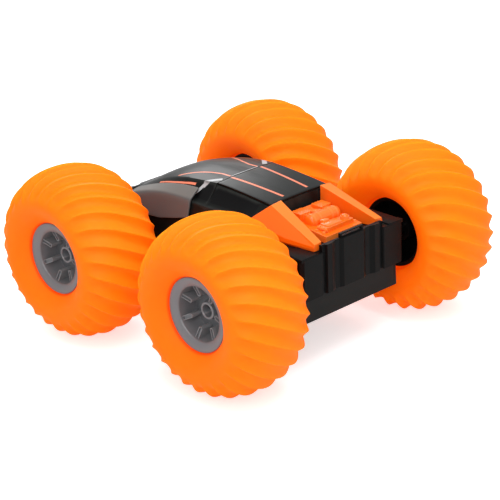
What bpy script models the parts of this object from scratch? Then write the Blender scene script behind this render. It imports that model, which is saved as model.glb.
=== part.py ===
"""Radio-controlled stunt car: four balloon tyres on stub axles, with each side's pair of
wheels driven by its own motor through a straight train of gears in the side of the body.

Metres, +Z up, ground at Z = 0. The nose points to -Y and the car's left is +X."""

import math

import bmesh
import bpy
from mathutils import Matrix, Vector

MM = 0.001

# Driving dimensions of the wheels and their places
TYRE_RADIUS = 60.0 * MM
TYRE_WIDTH = 64.4 * MM
TYRE_WALL = 2.4 * MM
RIDGE_COUNT = 28
RIDGE_HEIGHT = 1.9 * MM
RIDGE_SLANT = math.radians(16)     # how far a ridge turns between the crown and the sidewall
WHEELBASE = 140.8 * MM
TRACK = 182.8 * MM
HUB_RADIUS = 25.2 * MM             # outer flange of the wheel hub
HUB_OUTSET = 23.2 * MM             # from the tyre's middle plane to the outer flange
HUB_INSET = 20.3 * MM              # from the tyre's middle plane to the inner flange
DRUM_RADIUS = 22.6 * MM            # the drum that the tyre's beads sit on
TYRE_SINK = 6.7 * MM               # from the hub's edge in to where the balloon's oval is centred
BOSS_RADIUS = 6.0 * MM
BOSS_HOLE_RADIUS = 4.2 * MM
SPOKE_COUNT = 7
AXLE_RADIUS = 2.4 * MM

# Driving dimensions of the body, with heights counted from the axles
BODY_HALF_WIDTH = 46.0 * MM
SHELL_WALL = 1.8 * MM
ROOF_LENGTH = 51.5 * MM            # from the windscreen ridge back to the engine bay
ROOF_HALF_WIDTH = 27.0 * MM
ROOF_HEIGHT = 48.0 * MM
ROOF_REAR_HEIGHT = 44.5 * MM
ROOF_THICKNESS = 1.2 * MM
DECK_HEIGHT = 24.0 * MM            # the flat over the rear axle
NOSE_HEIGHT = 17.5 * MM
BUMPER_DEPTH = 3.8 * MM
BUMPER_SKIRT = 6.0 * MM            # how far the bumper hangs below the axles
BUMPER_HEIGHT = 28.3 * MM
CHEEK_WALL = 2.4 * MM
FENDER_WALL = 1.4 * MM
FENDER_GAP = 0.8 * MM              # over the shell, so that its bevelled shoulder passes under

# Driving dimensions of the drive
GEAR_TEETH = 20
SMALL_TEETH = 9
REDUCTION_TEETH = 28
PINION_TEETH = 8
REDUCTION_MODULE = 0.9 * MM
GEAR_WIDTH = 4.0 * MM
GEAR_PLATE = 1.4 * MM
CASE_CLEARANCE = 4.6 * MM          # round the axle gear's tips, inside the shell
MOTOR_RADIUS = 10.0 * MM
MOTOR_LENGTH = 25.0 * MM
POST_RADIUS = 1.9 * MM
SCREW_POST_RADIUS = 3.6 * MM

# Driving dimensions of the electric parts and their hatch
BATTERY_SIZE = (38.0 * MM, 52.0 * MM, 14.0 * MM)
BOARD_SIZE = (36.0 * MM, 30.0 * MM, 1.6 * MM)
DOOR_SIZE = (48.0 * MM, 66.0 * MM)
DOOR_THICKNESS = 1.0 * MM
SWITCH_SIZE = (12.0 * MM, 9.0 * MM, 5.0 * MM)
SWITCH_TRAVEL = 3.0 * MM
SLIDER_HALF = 2.0 * MM             # half the width of the switch's square knob

GAP = 0.3 * MM                     # between pieces that touch
RUNNING_GAP = 0.35 * MM            # between a pin and the bore that turns on it
CUT = 2.0 * MM                     # how far a cutter runs past the wall it cuts

AXLE_HEIGHT = TYRE_RADIUS
TYRE_CURVE_CENTRE = HUB_RADIUS - TYRE_SINK
GEAR_RADIUS = WHEELBASE / 8        # five equal gears reach from axle to axle
GEAR_MODULE = 2 * GEAR_RADIUS / GEAR_TEETH
CASE_RADIUS = GEAR_RADIUS + GEAR_MODULE + CASE_CLEARANCE + SHELL_WALL
SHELL_END = WHEELBASE / 2 + CASE_RADIUS
BUMPER_END = SHELL_END + GAP + BUMPER_DEPTH
FLOOR = -CASE_RADIUS
PLATE_OUT = BODY_HALF_WIDTH - 6.3 * MM
GEAR_OUT = PLATE_OUT - GEAR_PLATE - 0.5 * MM
GEAR_IN = GEAR_OUT - GEAR_WIDTH
REDUCTION_OUT = GEAR_IN - 1.0 * MM
REDUCTION_WIDTH = 3.3 * MM
SMALL_OUT = GEAR_OUT - 1.8 * MM
MOTOR_OUT = REDUCTION_OUT - REDUCTION_WIDTH - 1.0 * MM
AXLE_IN = GEAR_IN - 2.5 * MM
CHEEK_OUT = BODY_HALF_WIDTH + GAP + CHEEK_WALL
SLEEVE_FLANGE = 1.5 * MM
SLEEVE_RADIUS = AXLE_RADIUS + RUNNING_GAP + 1.8 * MM
BATTERY_Z = FLOOR + SHELL_WALL + 1.5 * MM
SWITCH_Y = -DOOR_SIZE[1] / 2 - 13.0 * MM
SCREW_Y = WHEELBASE / 2 - 8.0 * MM
DOOR_SCREW_Y = -DOOR_SIZE[1] / 2 + 4.0 * MM

COLOURS = {
    "soft_orange": ((0.99, 0.27, 0.012), 0.5, 0.0),
    "gloss_orange": ((0.96, 0.19, 0.008), 0.35, 0.0),
    "black_plastic": ((0.010, 0.010, 0.011), 0.35, 0.0),
    "hub_grey": ((0.16, 0.16, 0.165), 0.32, 0.3),
    "fender_grey": ((0.09, 0.088, 0.085), 0.35, 0.3),
    "steel": ((0.6, 0.6, 0.62), 0.3, 1.0),
    "white_nylon": ((0.8, 0.79, 0.75), 0.5, 0.0),
    "brass": ((0.6, 0.42, 0.13), 0.3, 1.0),
    "motor_steel": ((0.45, 0.45, 0.47), 0.35, 1.0),
    "battery_wrap": ((0.02, 0.10, 0.30), 0.4, 0.0),
    "board_green": ((0.01, 0.12, 0.04), 0.45, 0.0),
}


def clear_scene():
    for obj in list(bpy.data.objects):
        bpy.data.objects.remove(obj, do_unlink=True)


clear_scene()
CAR = bpy.data.collections.new("stunt_car")
CUTTERS = bpy.data.collections.new("cutters")
bpy.context.scene.collection.children.link(CAR)
bpy.context.scene.collection.children.link(CUTTERS)


def material(name):
    if name in bpy.data.materials:
        return bpy.data.materials[name]
    colour, roughness, metallic = COLOURS[name]
    made = bpy.data.materials.new(name)
    made.use_nodes = True
    shader = made.node_tree.nodes["Principled BSDF"]
    shader.inputs["Base Color"].default_value = (*colour, 1.0)
    shader.inputs["Roughness"].default_value = roughness
    shader.inputs["Metallic"].default_value = metallic
    made.diffuse_color = (*colour, 1.0)
    return made


def add_object(name, mesh, finish, parent=None):
    """A new piece of the car that shows this mesh."""
    if not mesh.materials:
        mesh.materials.append(material(finish))
    obj = bpy.data.objects.new(name, mesh)
    CAR.objects.link(obj)
    obj.parent = parent
    return obj


def mesh_from(shape, name, smooth_angle=30):
    """Turns a finished bmesh into a mesh with its faces pointing out."""
    bmesh.ops.recalc_face_normals(shape, faces=shape.faces)
    mesh = bpy.data.meshes.new(name)
    shape.to_mesh(mesh)
    shape.free()
    mesh.shade_smooth()
    mesh.set_sharp_from_angle(angle=math.radians(smooth_angle))
    return mesh


def box_mesh(name, low, high):
    shape = bmesh.new()
    bmesh.ops.create_cube(shape, size=1.0)
    size = [h - l for l, h in zip(low, high)]
    middle = [(h + l) / 2 for l, h in zip(low, high)]
    bmesh.ops.transform(
        shape, matrix=Matrix.Translation(middle) @ Matrix.Diagonal((*size, 1.0)), verts=shape.verts
    )
    return mesh_from(shape, name)


def cylinder_mesh(name, radius, start, end, segments=20):
    """A solid cylinder from one point to another."""
    start, end = Vector(start), Vector(end)
    along = end - start
    shape = bmesh.new()
    turn = along.to_track_quat("Z", "Y").to_matrix().to_4x4()
    bmesh.ops.create_cone(
        shape, cap_ends=True, segments=segments, radius1=radius, radius2=radius,
        depth=along.length, matrix=Matrix.Translation((start + end) / 2) @ turn,
    )
    return mesh_from(shape, name)


def extruded(name, outline, low, high, axis):
    """A closed outline pushed along an axis; its points hold the two other coordinates in order."""
    others = [i for i in range(3) if i != axis]
    shape = bmesh.new()
    ring = []
    for point in outline:
        place = [0.0, 0.0, 0.0]
        place[axis] = low
        place[others[0]], place[others[1]] = point
        ring.append(shape.verts.new(place))
    face = shape.faces.new(ring)
    pushed = bmesh.ops.extrude_face_region(shape, geom=[face])
    step = [0.0, 0.0, 0.0]
    step[axis] = high - low
    moved = [v for v in pushed["geom"] if isinstance(v, bmesh.types.BMVert)]
    bmesh.ops.translate(shape, vec=step, verts=moved)
    return mesh_from(shape, name)


def loft(name, sections, first_cap=None):
    """A solid through sections of equally many points, each section a ring in order. first_cap
    splits the first end into flat faces, where its ring is bent."""
    shape = bmesh.new()
    rings = [[shape.verts.new(point) for point in section] for section in sections]
    for first, second in zip(rings, rings[1:]):
        count = len(first)
        for i in range(count):
            j = (i + 1) % count
            shape.faces.new((first[i], first[j], second[j], second[i]))
    for corners in first_cap or [range(len(rings[0]))]:
        shape.faces.new([rings[0][i] for i in corners])
    shape.faces.new(rings[-1])
    return mesh_from(shape, name)


def boolean(obj, operation, mesh, helper_name):
    """Cuts a helper mesh from a piece, or joins it on, and hides the helper."""
    helper = bpy.data.objects.new(helper_name, mesh)
    CUTTERS.objects.link(helper)
    helper.hide_render = True
    helper.display_type = "WIRE"
    modifier = obj.modifiers.new(helper_name, "BOOLEAN")
    modifier.operation = operation
    modifier.solver = "EXACT"
    modifier.object = helper
    return helper


def cut(obj, mesh, helper_name):
    return boolean(obj, "DIFFERENCE", mesh, helper_name)


def join(obj, mesh, helper_name):
    return boolean(obj, "UNION", mesh, helper_name)


def turned(name, profile, finish, parent, steps):
    """A piece turned about its parent's Z axis. The profile's points are (radius, height), running
    down the outer side and back up the bore."""
    mesh = bpy.data.meshes.new(name)
    count = len(profile)
    mesh.from_pydata(
        [(radius, 0.0, height) for radius, height in profile],
        [(i, (i + 1) % count) for i in range(count)],
        [],
    )
    obj = add_object(name, mesh, finish, parent)
    screw = obj.modifiers.new("turn", "SCREW")
    screw.steps = screw.render_steps = steps
    screw.use_merge_vertices = True
    screw.merge_threshold = 0.00001
    screw.use_smooth_shade = True
    return obj


def arc(centre_y, centre_z, radius, start_deg, end_deg, count):
    """Points along an arc in the YZ plane, 0 degrees pointing to +Y."""
    points = []
    for i in range(count + 1):
        angle = math.radians(start_deg + (end_deg - start_deg) * i / count)
        points.append((centre_y + radius * math.cos(angle), centre_z + radius * math.sin(angle)))
    return points


# ---- Wheels ----------------------------------------------------------------------------------

def tyre_outline():
    """The tyre's closed section as (radius, height) points: the balloon outside, then the inner wall."""
    half = TYRE_WIDTH / 2
    tall = TYRE_RADIUS - TYRE_CURVE_CENTRE
    curve = []
    widest = math.cos(math.radians(10))
    for degrees in (10, 32, 62, 90, 118, 148, 170):
        angle = math.radians(degrees)
        out = (abs(math.cos(angle)) / widest) ** 0.91 * (1 if degrees < 90 else -1)
        curve.append((TYRE_CURVE_CENTRE + tall * math.sin(angle) ** 0.91, half * out))
    bead_radius = HUB_RADIUS + GAP
    outer_bead = (bead_radius, HUB_OUTSET - 1.6 * MM)
    inner_bead = (bead_radius, -HUB_INSET + 0.9 * MM)
    seat = DRUM_RADIUS + GAP
    inside = [
        (seat, -HUB_INSET + 3.6 * MM),
        (curve[-2][0] - TYRE_WALL, curve[-2][1] + TYRE_WALL),
        (TYRE_RADIUS - TYRE_WALL - RIDGE_HEIGHT, 0.0),
        (curve[1][0] - TYRE_WALL, curve[1][1] - TYRE_WALL),
        (seat, HUB_OUTSET - 4.4 * MM),
    ]
    return [outer_bead, *curve, inner_bead, *inside], len(curve) + 2


def tyre_mesh():
    """A balloon tyre whose slanting ridges fade out towards the hub."""
    outline, outer_count = tyre_outline()
    shape = bmesh.new()
    ring = [shape.verts.new((radius, 0.0, height)) for radius, height in outline]
    edges = [shape.edges.new((a, b)) for a, b in zip(ring, ring[1:] + ring[:1])]
    steps = 2 * RIDGE_COUNT
    bmesh.ops.spin(
        shape, geom=ring + edges, axis=(0, 0, 1), cent=(0, 0, 0), steps=steps,
        angle=2 * math.pi, use_merge=True,
    )
    heart = (TYRE_RADIUS + HUB_RADIUS) / 2
    ridge_start = HUB_RADIUS + 5.0 * MM
    outer = {(round(r, 7), round(z, 7)) for r, z in outline[:outer_count]}
    for vert in shape.verts:
        radius, height = math.hypot(vert.co.x, vert.co.y), vert.co.z
        angle = math.atan2(vert.co.y, vert.co.x)
        step = round(angle / (2 * math.pi) * steps)
        if (round(radius, 7), round(height, 7)) in outer and step % 2:
            share = max(0.0, min(1.0, (radius - ridge_start) / (18.0 * MM)))
            away = Vector((radius - heart, height))
            away.length = max(0.0, away.length - RIDGE_HEIGHT * share)
            radius, height = heart + away.x, away.y
        angle += RIDGE_SLANT * height / (TYRE_WIDTH / 2)
        vert.co = (radius * math.cos(angle), radius * math.sin(angle), height)
    return mesh_from(shape, "tyre", smooth_angle=25)


def outer_rim_profile():
    out = HUB_OUTSET
    split = 0.8 * MM
    return [
        (HUB_RADIUS - 0.7 * MM, out),
        (HUB_RADIUS, out - 0.6 * MM),
        (HUB_RADIUS - GAP, out - 1.4 * MM),
        (DRUM_RADIUS, out - 2.2 * MM),
        (DRUM_RADIUS, split),
        (AXLE_RADIUS + GAP, split),
        (AXLE_RADIUS + GAP, 7.5 * MM),
        (BOSS_HOLE_RADIUS, 7.5 * MM),
        (BOSS_HOLE_RADIUS, out - 9.5 * MM),
        (BOSS_RADIUS, out - 9.5 * MM),
        (BOSS_RADIUS + 0.5 * MM, out - 13.6 * MM),
        (DRUM_RADIUS - 6.0 * MM, out - 16.5 * MM),
        (DRUM_RADIUS - 4.6 * MM, out - 4.0 * MM),
        (DRUM_RADIUS - 4.0 * MM, out - 2.6 * MM),
    ]


def outer_rim(name, parent):
    """The grey hub: a dished flange, a deep cup, a screw boss and short ribs with round ends."""
    obj = turned(name, outer_rim_profile(), "hub_grey", parent, 21)
    wall = DRUM_RADIUS - 5.2 * MM
    inner = BOSS_RADIUS + 5.6 * MM
    low, high = HUB_OUTSET - 17.2 * MM, HUB_OUTSET - 5.6 * MM
    for i in range(SPOKE_COUNT):
        angle = math.pi / 2 + 2 * math.pi * i / SPOKE_COUNT
        turn = Matrix.Rotation(angle, 4, "Z")
        rib = box_mesh("spoke", (inner, -1.5 * MM, low), (wall + 0.9 * MM, 1.5 * MM, high))
        rib.transform(turn)
        join(obj, rib, f"{name}_spoke_{i}").parent = parent
    return obj


def inner_rim_profile():
    """The black inner half, dished like a deep pan towards the body."""
    lip = -HUB_INSET
    return [
        (DRUM_RADIUS, 0.4 * MM),
        (DRUM_RADIUS, lip + 2.0 * MM),
        (HUB_RADIUS - 0.4 * MM, lip + 1.2 * MM),
        (HUB_RADIUS - 0.8 * MM, lip),
        (HUB_RADIUS - 3.0 * MM, lip + 0.8 * MM),
        (DRUM_RADIUS - 2.0 * MM, -2.4 * MM),
        (9.5 * MM, -2.4 * MM),
        (8.0 * MM, lip + 8.5 * MM),
        (AXLE_RADIUS + GAP, lip + 8.5 * MM),
        (AXLE_RADIUS + GAP, 0.4 * MM),
    ]


def axle_profile(inboard, outboard):
    """A steel stub with a blind screw hole in its outer end."""
    hole = 1.6 * MM
    depth = outboard - 10.0 * MM
    return [
        (AXLE_RADIUS, outboard),
        (AXLE_RADIUS, inboard),
        (0.0, inboard),
        (0.0, depth),
        (hole, depth),
        (hole, outboard),
    ]


def wheel_screw_profile(seat):
    head, shank = 3.4 * MM, 1.25 * MM
    return [
        (0.0, seat + 2.2 * MM),
        (head - 1.0 * MM, seat + 2.0 * MM),
        (head, seat + 0.9 * MM),
        (head, seat),
        (shank, seat),
        (shank, seat - 8.0 * MM),
        (0.0, seat - 8.6 * MM),
    ]


def axle_sleeve_profile(inboard, flange_at, outboard):
    """The flanged bearing that carries an axle through the side of the body."""
    bore = AXLE_RADIUS + RUNNING_GAP
    return [
        (bore + 2.4 * MM, outboard),
        (bore + 3.4 * MM, flange_at + SLEEVE_FLANGE + 2.0 * MM),
        (bore + 5.4 * MM, flange_at + SLEEVE_FLANGE),
        (bore + 5.4 * MM, flange_at),
        (SLEEVE_RADIUS, flange_at),
        (SLEEVE_RADIUS, inboard),
        (bore, inboard),
        (bore, outboard),
    ]


def wheel_set(place, side, end):
    """One wheel with its rims, axle, sleeve and screw, on a hub empty at the tyre's middle."""
    hub = bpy.data.objects.new(f"{place}_hub_centre", None)
    CAR.objects.link(hub)
    hub.location = (side * TRACK / 2, end * WHEELBASE / 2, AXLE_HEIGHT)
    hub.rotation_euler = (0.0, side * math.pi / 2, 0.0)
    if "tyre" not in bpy.data.meshes:
        tyre_mesh()
    add_object(f"{place}_tyre", bpy.data.meshes["tyre"], "soft_orange", hub)
    outer_rim(f"{place}_outer_rim", hub)
    turned(f"{place}_inner_rim", inner_rim_profile(), "black_plastic", hub, 20)
    inboard = AXLE_IN - TRACK / 2
    outboard = 7.0 * MM
    turned(f"{place}_axle", axle_profile(inboard, outboard), "steel", hub, 12)
    turned(f"{place}_wheel_screw", wheel_screw_profile(7.5 * MM + GAP), "steel", hub, 12)
    sleeve_in = PLATE_OUT + 0.6 * MM - TRACK / 2
    flange_at = CHEEK_OUT + GAP - TRACK / 2
    sleeve_out = -HUB_INSET + 8.0 * MM - 1.0 * MM
    turned(
        f"{place}_axle_sleeve", axle_sleeve_profile(sleeve_in, flange_at, sleeve_out),
        "black_plastic", hub, 12,
    )


# ---- Gears -----------------------------------------------------------------------------------

def toothed_outline(teeth, module, phase):
    """The points round a spur gear with straight-sided teeth, the first tooth at the phase angle."""
    pitch_radius = module * teeth / 2
    tip, root = pitch_radius + 0.85 * module, pitch_radius - 1.15 * module
    tip_half, root_half = 0.30 * module / tip, 1.05 * module / root
    points = []
    for i in range(teeth):
        middle = phase + 2 * math.pi * i / teeth
        corners = ((root, -root_half), (tip, -tip_half), (tip, tip_half), (root, root_half))
        for radius, offset in corners:
            angle = middle + offset
            points.append((radius * math.cos(angle), radius * math.sin(angle)))
    return points


def aim(side, y, z):
    """The angle, in the frame of a gear on this side, of a direction across the car's side."""
    return math.atan2(y, -side * z)


def meshing_phase(teeth, phase, towards, other_teeth):
    """The phase at which another gear, in that direction, has a gap where this one has a tooth."""
    place = ((towards - phase) * teeth / (2 * math.pi)) % 1.0
    return towards + math.pi + (place + 0.5) * 2 * math.pi / other_teeth


def gear_object(name, side, centre, inboard, mesh, finish="white_nylon"):
    obj = add_object(name, mesh, finish)
    obj.location = (side * inboard, centre[0], AXLE_HEIGHT + centre[1])
    obj.rotation_euler = (0.0, side * math.pi / 2, 0.0)
    return obj


def spur_gear(name, side, centre, phase, bore):
    """One of the five equal gears that join the two axles."""
    outline = toothed_outline(GEAR_TEETH, GEAR_MODULE, phase)
    gear = gear_object(name, side, centre, GEAR_IN, extruded(name, outline, 0.0, GEAR_WIDTH, 2))
    hole = cylinder_mesh("bore", bore, (0, 0, -CUT), (0, 0, GEAR_WIDTH + CUT), 12)
    cut(gear, hole, f"{name}_bore").parent = gear


def reduction_centre(drive_y):
    """Where the reduction gear sits: in mesh with the gear at drive_y, clear of that gear's neighbour."""
    small_radius = GEAR_MODULE * SMALL_TEETH / 2
    reach = GEAR_RADIUS + small_radius
    clear = GEAR_RADIUS + small_radius + 2 * GEAR_MODULE + 0.6 * MM
    spacing = 2 * GEAR_RADIUS
    along = (reach**2 - clear**2 + spacing**2) / (2 * spacing)
    return drive_y - math.copysign(along, drive_y), math.sqrt(reach**2 - along**2)


def motor_centre(drive_y):
    """The motor shaft: one reduction mesh away from the reduction gear, back over the driven gear."""
    y, z = reduction_centre(drive_y)
    reach = REDUCTION_MODULE * (REDUCTION_TEETH + PINION_TEETH) / 2
    drop = 0.45 * reach
    return y + math.copysign(math.sqrt(reach**2 - drop**2), drive_y), z - drop


def gear_train(word, side, drive_y):
    """One side's drive, from the motor's pinion to both axle gears."""
    names = [
        "rear_{}_axle_gear", "{}_rear_idler", "{}_middle_idler", "{}_front_idler", "front_{}_axle_gear",
    ]
    phase = aim(side, 1, 0)
    towards_front = aim(side, -1, 0)
    phases = {}
    for i, name in enumerate(names):
        y = WHEELBASE / 2 - i * 2 * GEAR_RADIUS
        on_axle = i in (0, len(names) - 1)
        bore = (AXLE_RADIUS + 0.2 * MM) if on_axle else (POST_RADIUS + RUNNING_GAP)
        spur_gear(name.format(word), side, (y, 0.0), phase, bore)
        phases[round(y / MM)] = phase
        phase = meshing_phase(GEAR_TEETH, phase, towards_front, GEAR_TEETH)
    centre = reduction_centre(drive_y)
    towards = aim(side, centre[0] - drive_y, centre[1])
    small_phase = meshing_phase(GEAR_TEETH, phases[round(drive_y / MM)], towards, SMALL_TEETH)
    reduction_gear(f"{word}_reduction_gear", side, centre, small_phase)
    motor = motor_centre(drive_y)
    towards = aim(side, motor[0] - centre[0], motor[1] - centre[1])
    pinion_phase = meshing_phase(REDUCTION_TEETH, small_phase, towards, PINION_TEETH)
    motor_pinion(f"{word}_motor_pinion", side, motor, pinion_phase)
    motor_can(f"{word}_motor", side, motor)
    gear_plate(f"{word}_gear_plate", side, centre)


def reduction_gear(name, side, centre, phase):
    """A large and a small gear moulded together."""
    inboard = REDUCTION_OUT - REDUCTION_WIDTH
    big = toothed_outline(REDUCTION_TEETH, REDUCTION_MODULE, phase)
    gear = gear_object(name, side, centre, inboard, extruded(name, big, 0.0, REDUCTION_WIDTH, 2))
    small = toothed_outline(SMALL_TEETH, GEAR_MODULE, phase)
    top = SMALL_OUT - inboard
    join(gear, extruded("small", small, REDUCTION_WIDTH / 2, top, 2), f"{name}_small").parent = gear
    hole = cylinder_mesh("bore", POST_RADIUS + RUNNING_GAP, (0, 0, -CUT), (0, 0, top + CUT), 12)
    cut(gear, hole, f"{name}_bore").parent = gear


def motor_pinion(name, side, centre, phase):
    """The brass pinion and the end of the motor shaft that it is pressed on."""
    inboard = REDUCTION_OUT - REDUCTION_WIDTH
    outline = toothed_outline(PINION_TEETH, REDUCTION_MODULE, phase)
    teeth = extruded(name, outline, 0.0, REDUCTION_WIDTH, 2)
    gear = gear_object(name, side, centre, inboard, teeth, "brass")
    shaft = cylinder_mesh("shaft", 1.0 * MM, (0, 0, -3.5 * MM), (0, 0, REDUCTION_WIDTH + 1.0 * MM), 10)
    join(gear, shaft, f"{name}_shaft").parent = gear


def motor_can(name, side, centre):
    """A small brushed motor with flat top and bottom and a bearing hole at its shaft end."""
    start = (side * (MOTOR_OUT - MOTOR_LENGTH), centre[0], AXLE_HEIGHT + centre[1])
    end = (side * MOTOR_OUT, centre[0], AXLE_HEIGHT + centre[1])
    motor = add_object(name, cylinder_mesh(name, MOTOR_RADIUS, start, end, 24), "motor_steel")
    flat = 0.78 * MOTOR_RADIUS
    xs = sorted((start[0] - side * CUT, end[0] + side * CUT))
    for word, low, high in (("top", flat, 2 * MOTOR_RADIUS), ("bottom", -2 * MOTOR_RADIUS, -flat)):
        slab = box_mesh(
            "flat",
            (xs[0], centre[0] - 2 * MOTOR_RADIUS, start[2] + low),
            (xs[1], centre[0] + 2 * MOTOR_RADIUS, start[2] + high),
        )
        cut(motor, slab, f"{name}_{word}_flat")
    hole_start = (end[0] - side * 4.0 * MM, end[1], end[2])
    hole_end = (end[0] + side * CUT, end[1], end[2])
    cut(motor, cylinder_mesh("shaft_hole", 1.5 * MM, hole_start, hole_end, 12), f"{name}_shaft_hole")


def gear_plate(name, side, centre):
    """The plate outside the gears, with the moulded posts that the idlers and reduction gear turn on."""
    half_length = WHEELBASE / 2 - 6.5 * MM
    top = centre[1] + 3.2 * MM
    inner, outer = side * (PLATE_OUT - GEAR_PLATE), side * PLATE_OUT
    xs = sorted((inner, outer))
    y0, y1 = centre[0] - 5.0 * MM, centre[0] + 5.0 * MM
    low = AXLE_HEIGHT - 5.0 * MM
    shoulder = AXLE_HEIGHT + 5.0 * MM
    outline = [
        (-half_length, low), (half_length, low), (half_length, shoulder),
        (y1, shoulder), (y1, AXLE_HEIGHT + top), (y0, AXLE_HEIGHT + top), (y0, shoulder),
        (-half_length, shoulder),
    ]
    plate = add_object(name, extruded(name, outline, xs[0], xs[1], 0), "black_plastic")
    stops = [(y, 0.0, GEAR_IN + 0.4 * MM) for y in (-2 * GEAR_RADIUS, 0.0, 2 * GEAR_RADIUS)]
    stops.append((centre[0], centre[1], REDUCTION_OUT - REDUCTION_WIDTH - 0.5 * MM))
    for i, (y, z, reach) in enumerate(stops):
        start = (side * (PLATE_OUT - GEAR_PLATE / 2), y, AXLE_HEIGHT + z)
        end = (side * reach, y, AXLE_HEIGHT + z)
        join(plate, cylinder_mesh("post", POST_RADIUS, start, end, 12), f"{name}_post_{i}")


# ---- Body shells -----------------------------------------------------------------------------

def stadium(radius, split):
    """The lower shell's side view: a flat floor that curls up round both axles to the split line."""
    half = WHEELBASE / 2
    rear = arc(half, 0.0, radius, 0, -90, 6)
    front = arc(-half, 0.0, radius, -90, -180, 6)
    outline = [(y, AXLE_HEIGHT + z) for y, z in rear + front]
    outline.append((outline[-1][0], AXLE_HEIGHT + split))
    outline.append((outline[0][0], AXLE_HEIGHT + split))
    return outline


def lower_shell():
    """The tub under the axles, with the battery hatch, the switch slot and the screw holes."""
    wide = BODY_HALF_WIDTH
    tub = extruded("lower_shell", stadium(CASE_RADIUS, 0.0)[:-2], -wide, wide, 0)
    shell = add_object("lower_shell", tub, "black_plastic")
    inside = stadium(CASE_RADIUS - SHELL_WALL, CUT)
    cut(shell, extruded("tub", inside, SHELL_WALL - wide, wide - SHELL_WALL, 0), "tub_inside")
    floor = AXLE_HEIGHT + FLOOR
    half_x, half_y = DOOR_SIZE[0] / 2 + 0.4 * MM, DOOR_SIZE[1] / 2 + 0.4 * MM
    top, bottom = floor + 3 * CUT, floor - CUT
    pocket_top = floor + DOOR_THICKNESS + GAP
    pocket = box_mesh("pocket", (-half_x, -half_y, bottom), (half_x, half_y, pocket_top))
    cut(shell, pocket, "door_pocket")
    rim, screw_rim = 2.0 * MM, 8.0 * MM
    hatch = box_mesh(
        "hatch", (rim - half_x, screw_rim - half_y, bottom), (half_x - rim, half_y - rim, top)
    )
    cut(shell, hatch, "hatch_hole")
    for name, radius, y in (
        ("door_screw_hole", 2.3 * MM, DOOR_SCREW_Y),
        ("rear_screw_hole", 1.7 * MM, SCREW_Y),
        ("front_screw_hole", 1.7 * MM, -SCREW_Y),
    ):
        cut(shell, cylinder_mesh(name, radius, (0, y, bottom), (0, y, top), 14), name)
    for name, y in (("rear_head_recess", SCREW_Y), ("front_head_recess", -SCREW_Y)):
        cut(shell, cylinder_mesh(name, 3.1 * MM, (0, y, bottom), (0, y, floor + 0.9 * MM), 16), name)
    slot_x = SLIDER_HALF + GAP
    slot_y = SWITCH_TRAVEL / 2 + slot_x
    slot = box_mesh("slot", (-slot_x, SWITCH_Y - slot_y, bottom), (slot_x, SWITCH_Y + slot_y, top))
    cut(shell, slot, "switch_slot")
    cut_axle_holes(shell, "lower")
    return shell


def cut_axle_holes(obj, word):
    """Holes for the four axle sleeves, right across the body."""
    reach = CHEEK_OUT + CUT
    for end_word, y in (("rear", WHEELBASE / 2), ("front", -WHEELBASE / 2)):
        for side_word, side in (("left", 1), ("right", -1)):
            hole = cylinder_mesh(
                "axle_hole", SLEEVE_RADIUS + GAP,
                (side * (PLATE_OUT - CUT), y, AXLE_HEIGHT), (side * reach, y, AXLE_HEIGHT), 16,
            )
            cut(obj, hole, f"{word}_{end_word}_{side_word}_axle_hole")


def body_heights(y):
    """The outside of the upper body at one place: centre height, and edge, shoulder and waist points."""
    wide = BODY_HALF_WIDTH
    case = CASE_RADIUS
    hood = [
        # share of the hood's length, centre height, then edge, shoulder and waist as (x, z)
        (0.0, ROOF_HEIGHT, (ROOF_HALF_WIDTH, ROOF_HEIGHT - 0.8 * MM), case + 7.74 * MM, 16.0 * MM),
        (0.25, ROOF_HEIGHT - 0.4 * MM, (27.0 * MM, ROOF_HEIGHT - 3.4 * MM), case + 7.74 * MM, 16.0 * MM),
        (0.42, ROOF_HEIGHT - 2.6 * MM, (26.0 * MM, ROOF_HEIGHT - 6.4 * MM), case + 6.74 * MM, 15.5 * MM),
        (0.58, ROOF_HEIGHT - 7.8 * MM, (25.0 * MM, ROOF_HEIGHT - 11.4 * MM), case + 3.74 * MM, 15.0 * MM),
        (0.72, case + 7.84 * MM, (24.5 * MM, case + 5.24 * MM), case + 0.24 * MM, 14.0 * MM),
        (0.86, case + 0.24 * MM, (24.5 * MM, case - 1.26 * MM), case - 4.76 * MM, 12.0 * MM),
        (1.0, NOSE_HEIGHT, (25.0 * MM, NOSE_HEIGHT - 0.5 * MM), NOSE_HEIGHT - 2.5 * MM, 9.0 * MM),
    ]
    if y <= 0.0:
        share = -y / SHELL_END
        for first, second in zip(hood, hood[1:]):
            if share <= second[0] + 1e-9:
                t = (share - first[0]) / (second[0] - first[0])
                blend = [first[1] + (second[1] - first[1]) * t]
                blend.append(tuple(a + (b - a) * t for a, b in zip(first[2], second[2])))
                blend.append(first[3] + (second[3] - first[3]) * t)
                blend.append(first[4] + (second[4] - first[4]) * t)
                break
        centre, edge, shoulder, waist = blend
    else:
        t = min(1.0, y / ROOF_LENGTH)
        centre = ROOF_HEIGHT + (ROOF_REAR_HEIGHT - ROOF_HEIGHT) * t**1.6
        edge = (ROOF_HALF_WIDTH, centre - 0.8 * MM)
        shoulder, waist = CASE_RADIUS + 7.74 * MM, 16.0 * MM
    return centre, edge, (wide - 7.0 * MM, shoulder), (wide - 1.6 * MM, waist)


def half_section(y, drop=0.0):
    """The outside of the body from the middle of its top down to the split line, as (x, z)."""
    centre, edge, shoulder, waist = body_heights(y)
    middle = (edge[0] * 0.5, (centre + edge[1]) / 2 + 0.25 * (centre - edge[1]))
    points = [(0.0, centre - drop), (middle[0], middle[1] - drop), (edge[0], edge[1] - drop)]
    return points + [shoulder, waist, (BODY_HALF_WIDTH, 0.6 * MM)]


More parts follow.
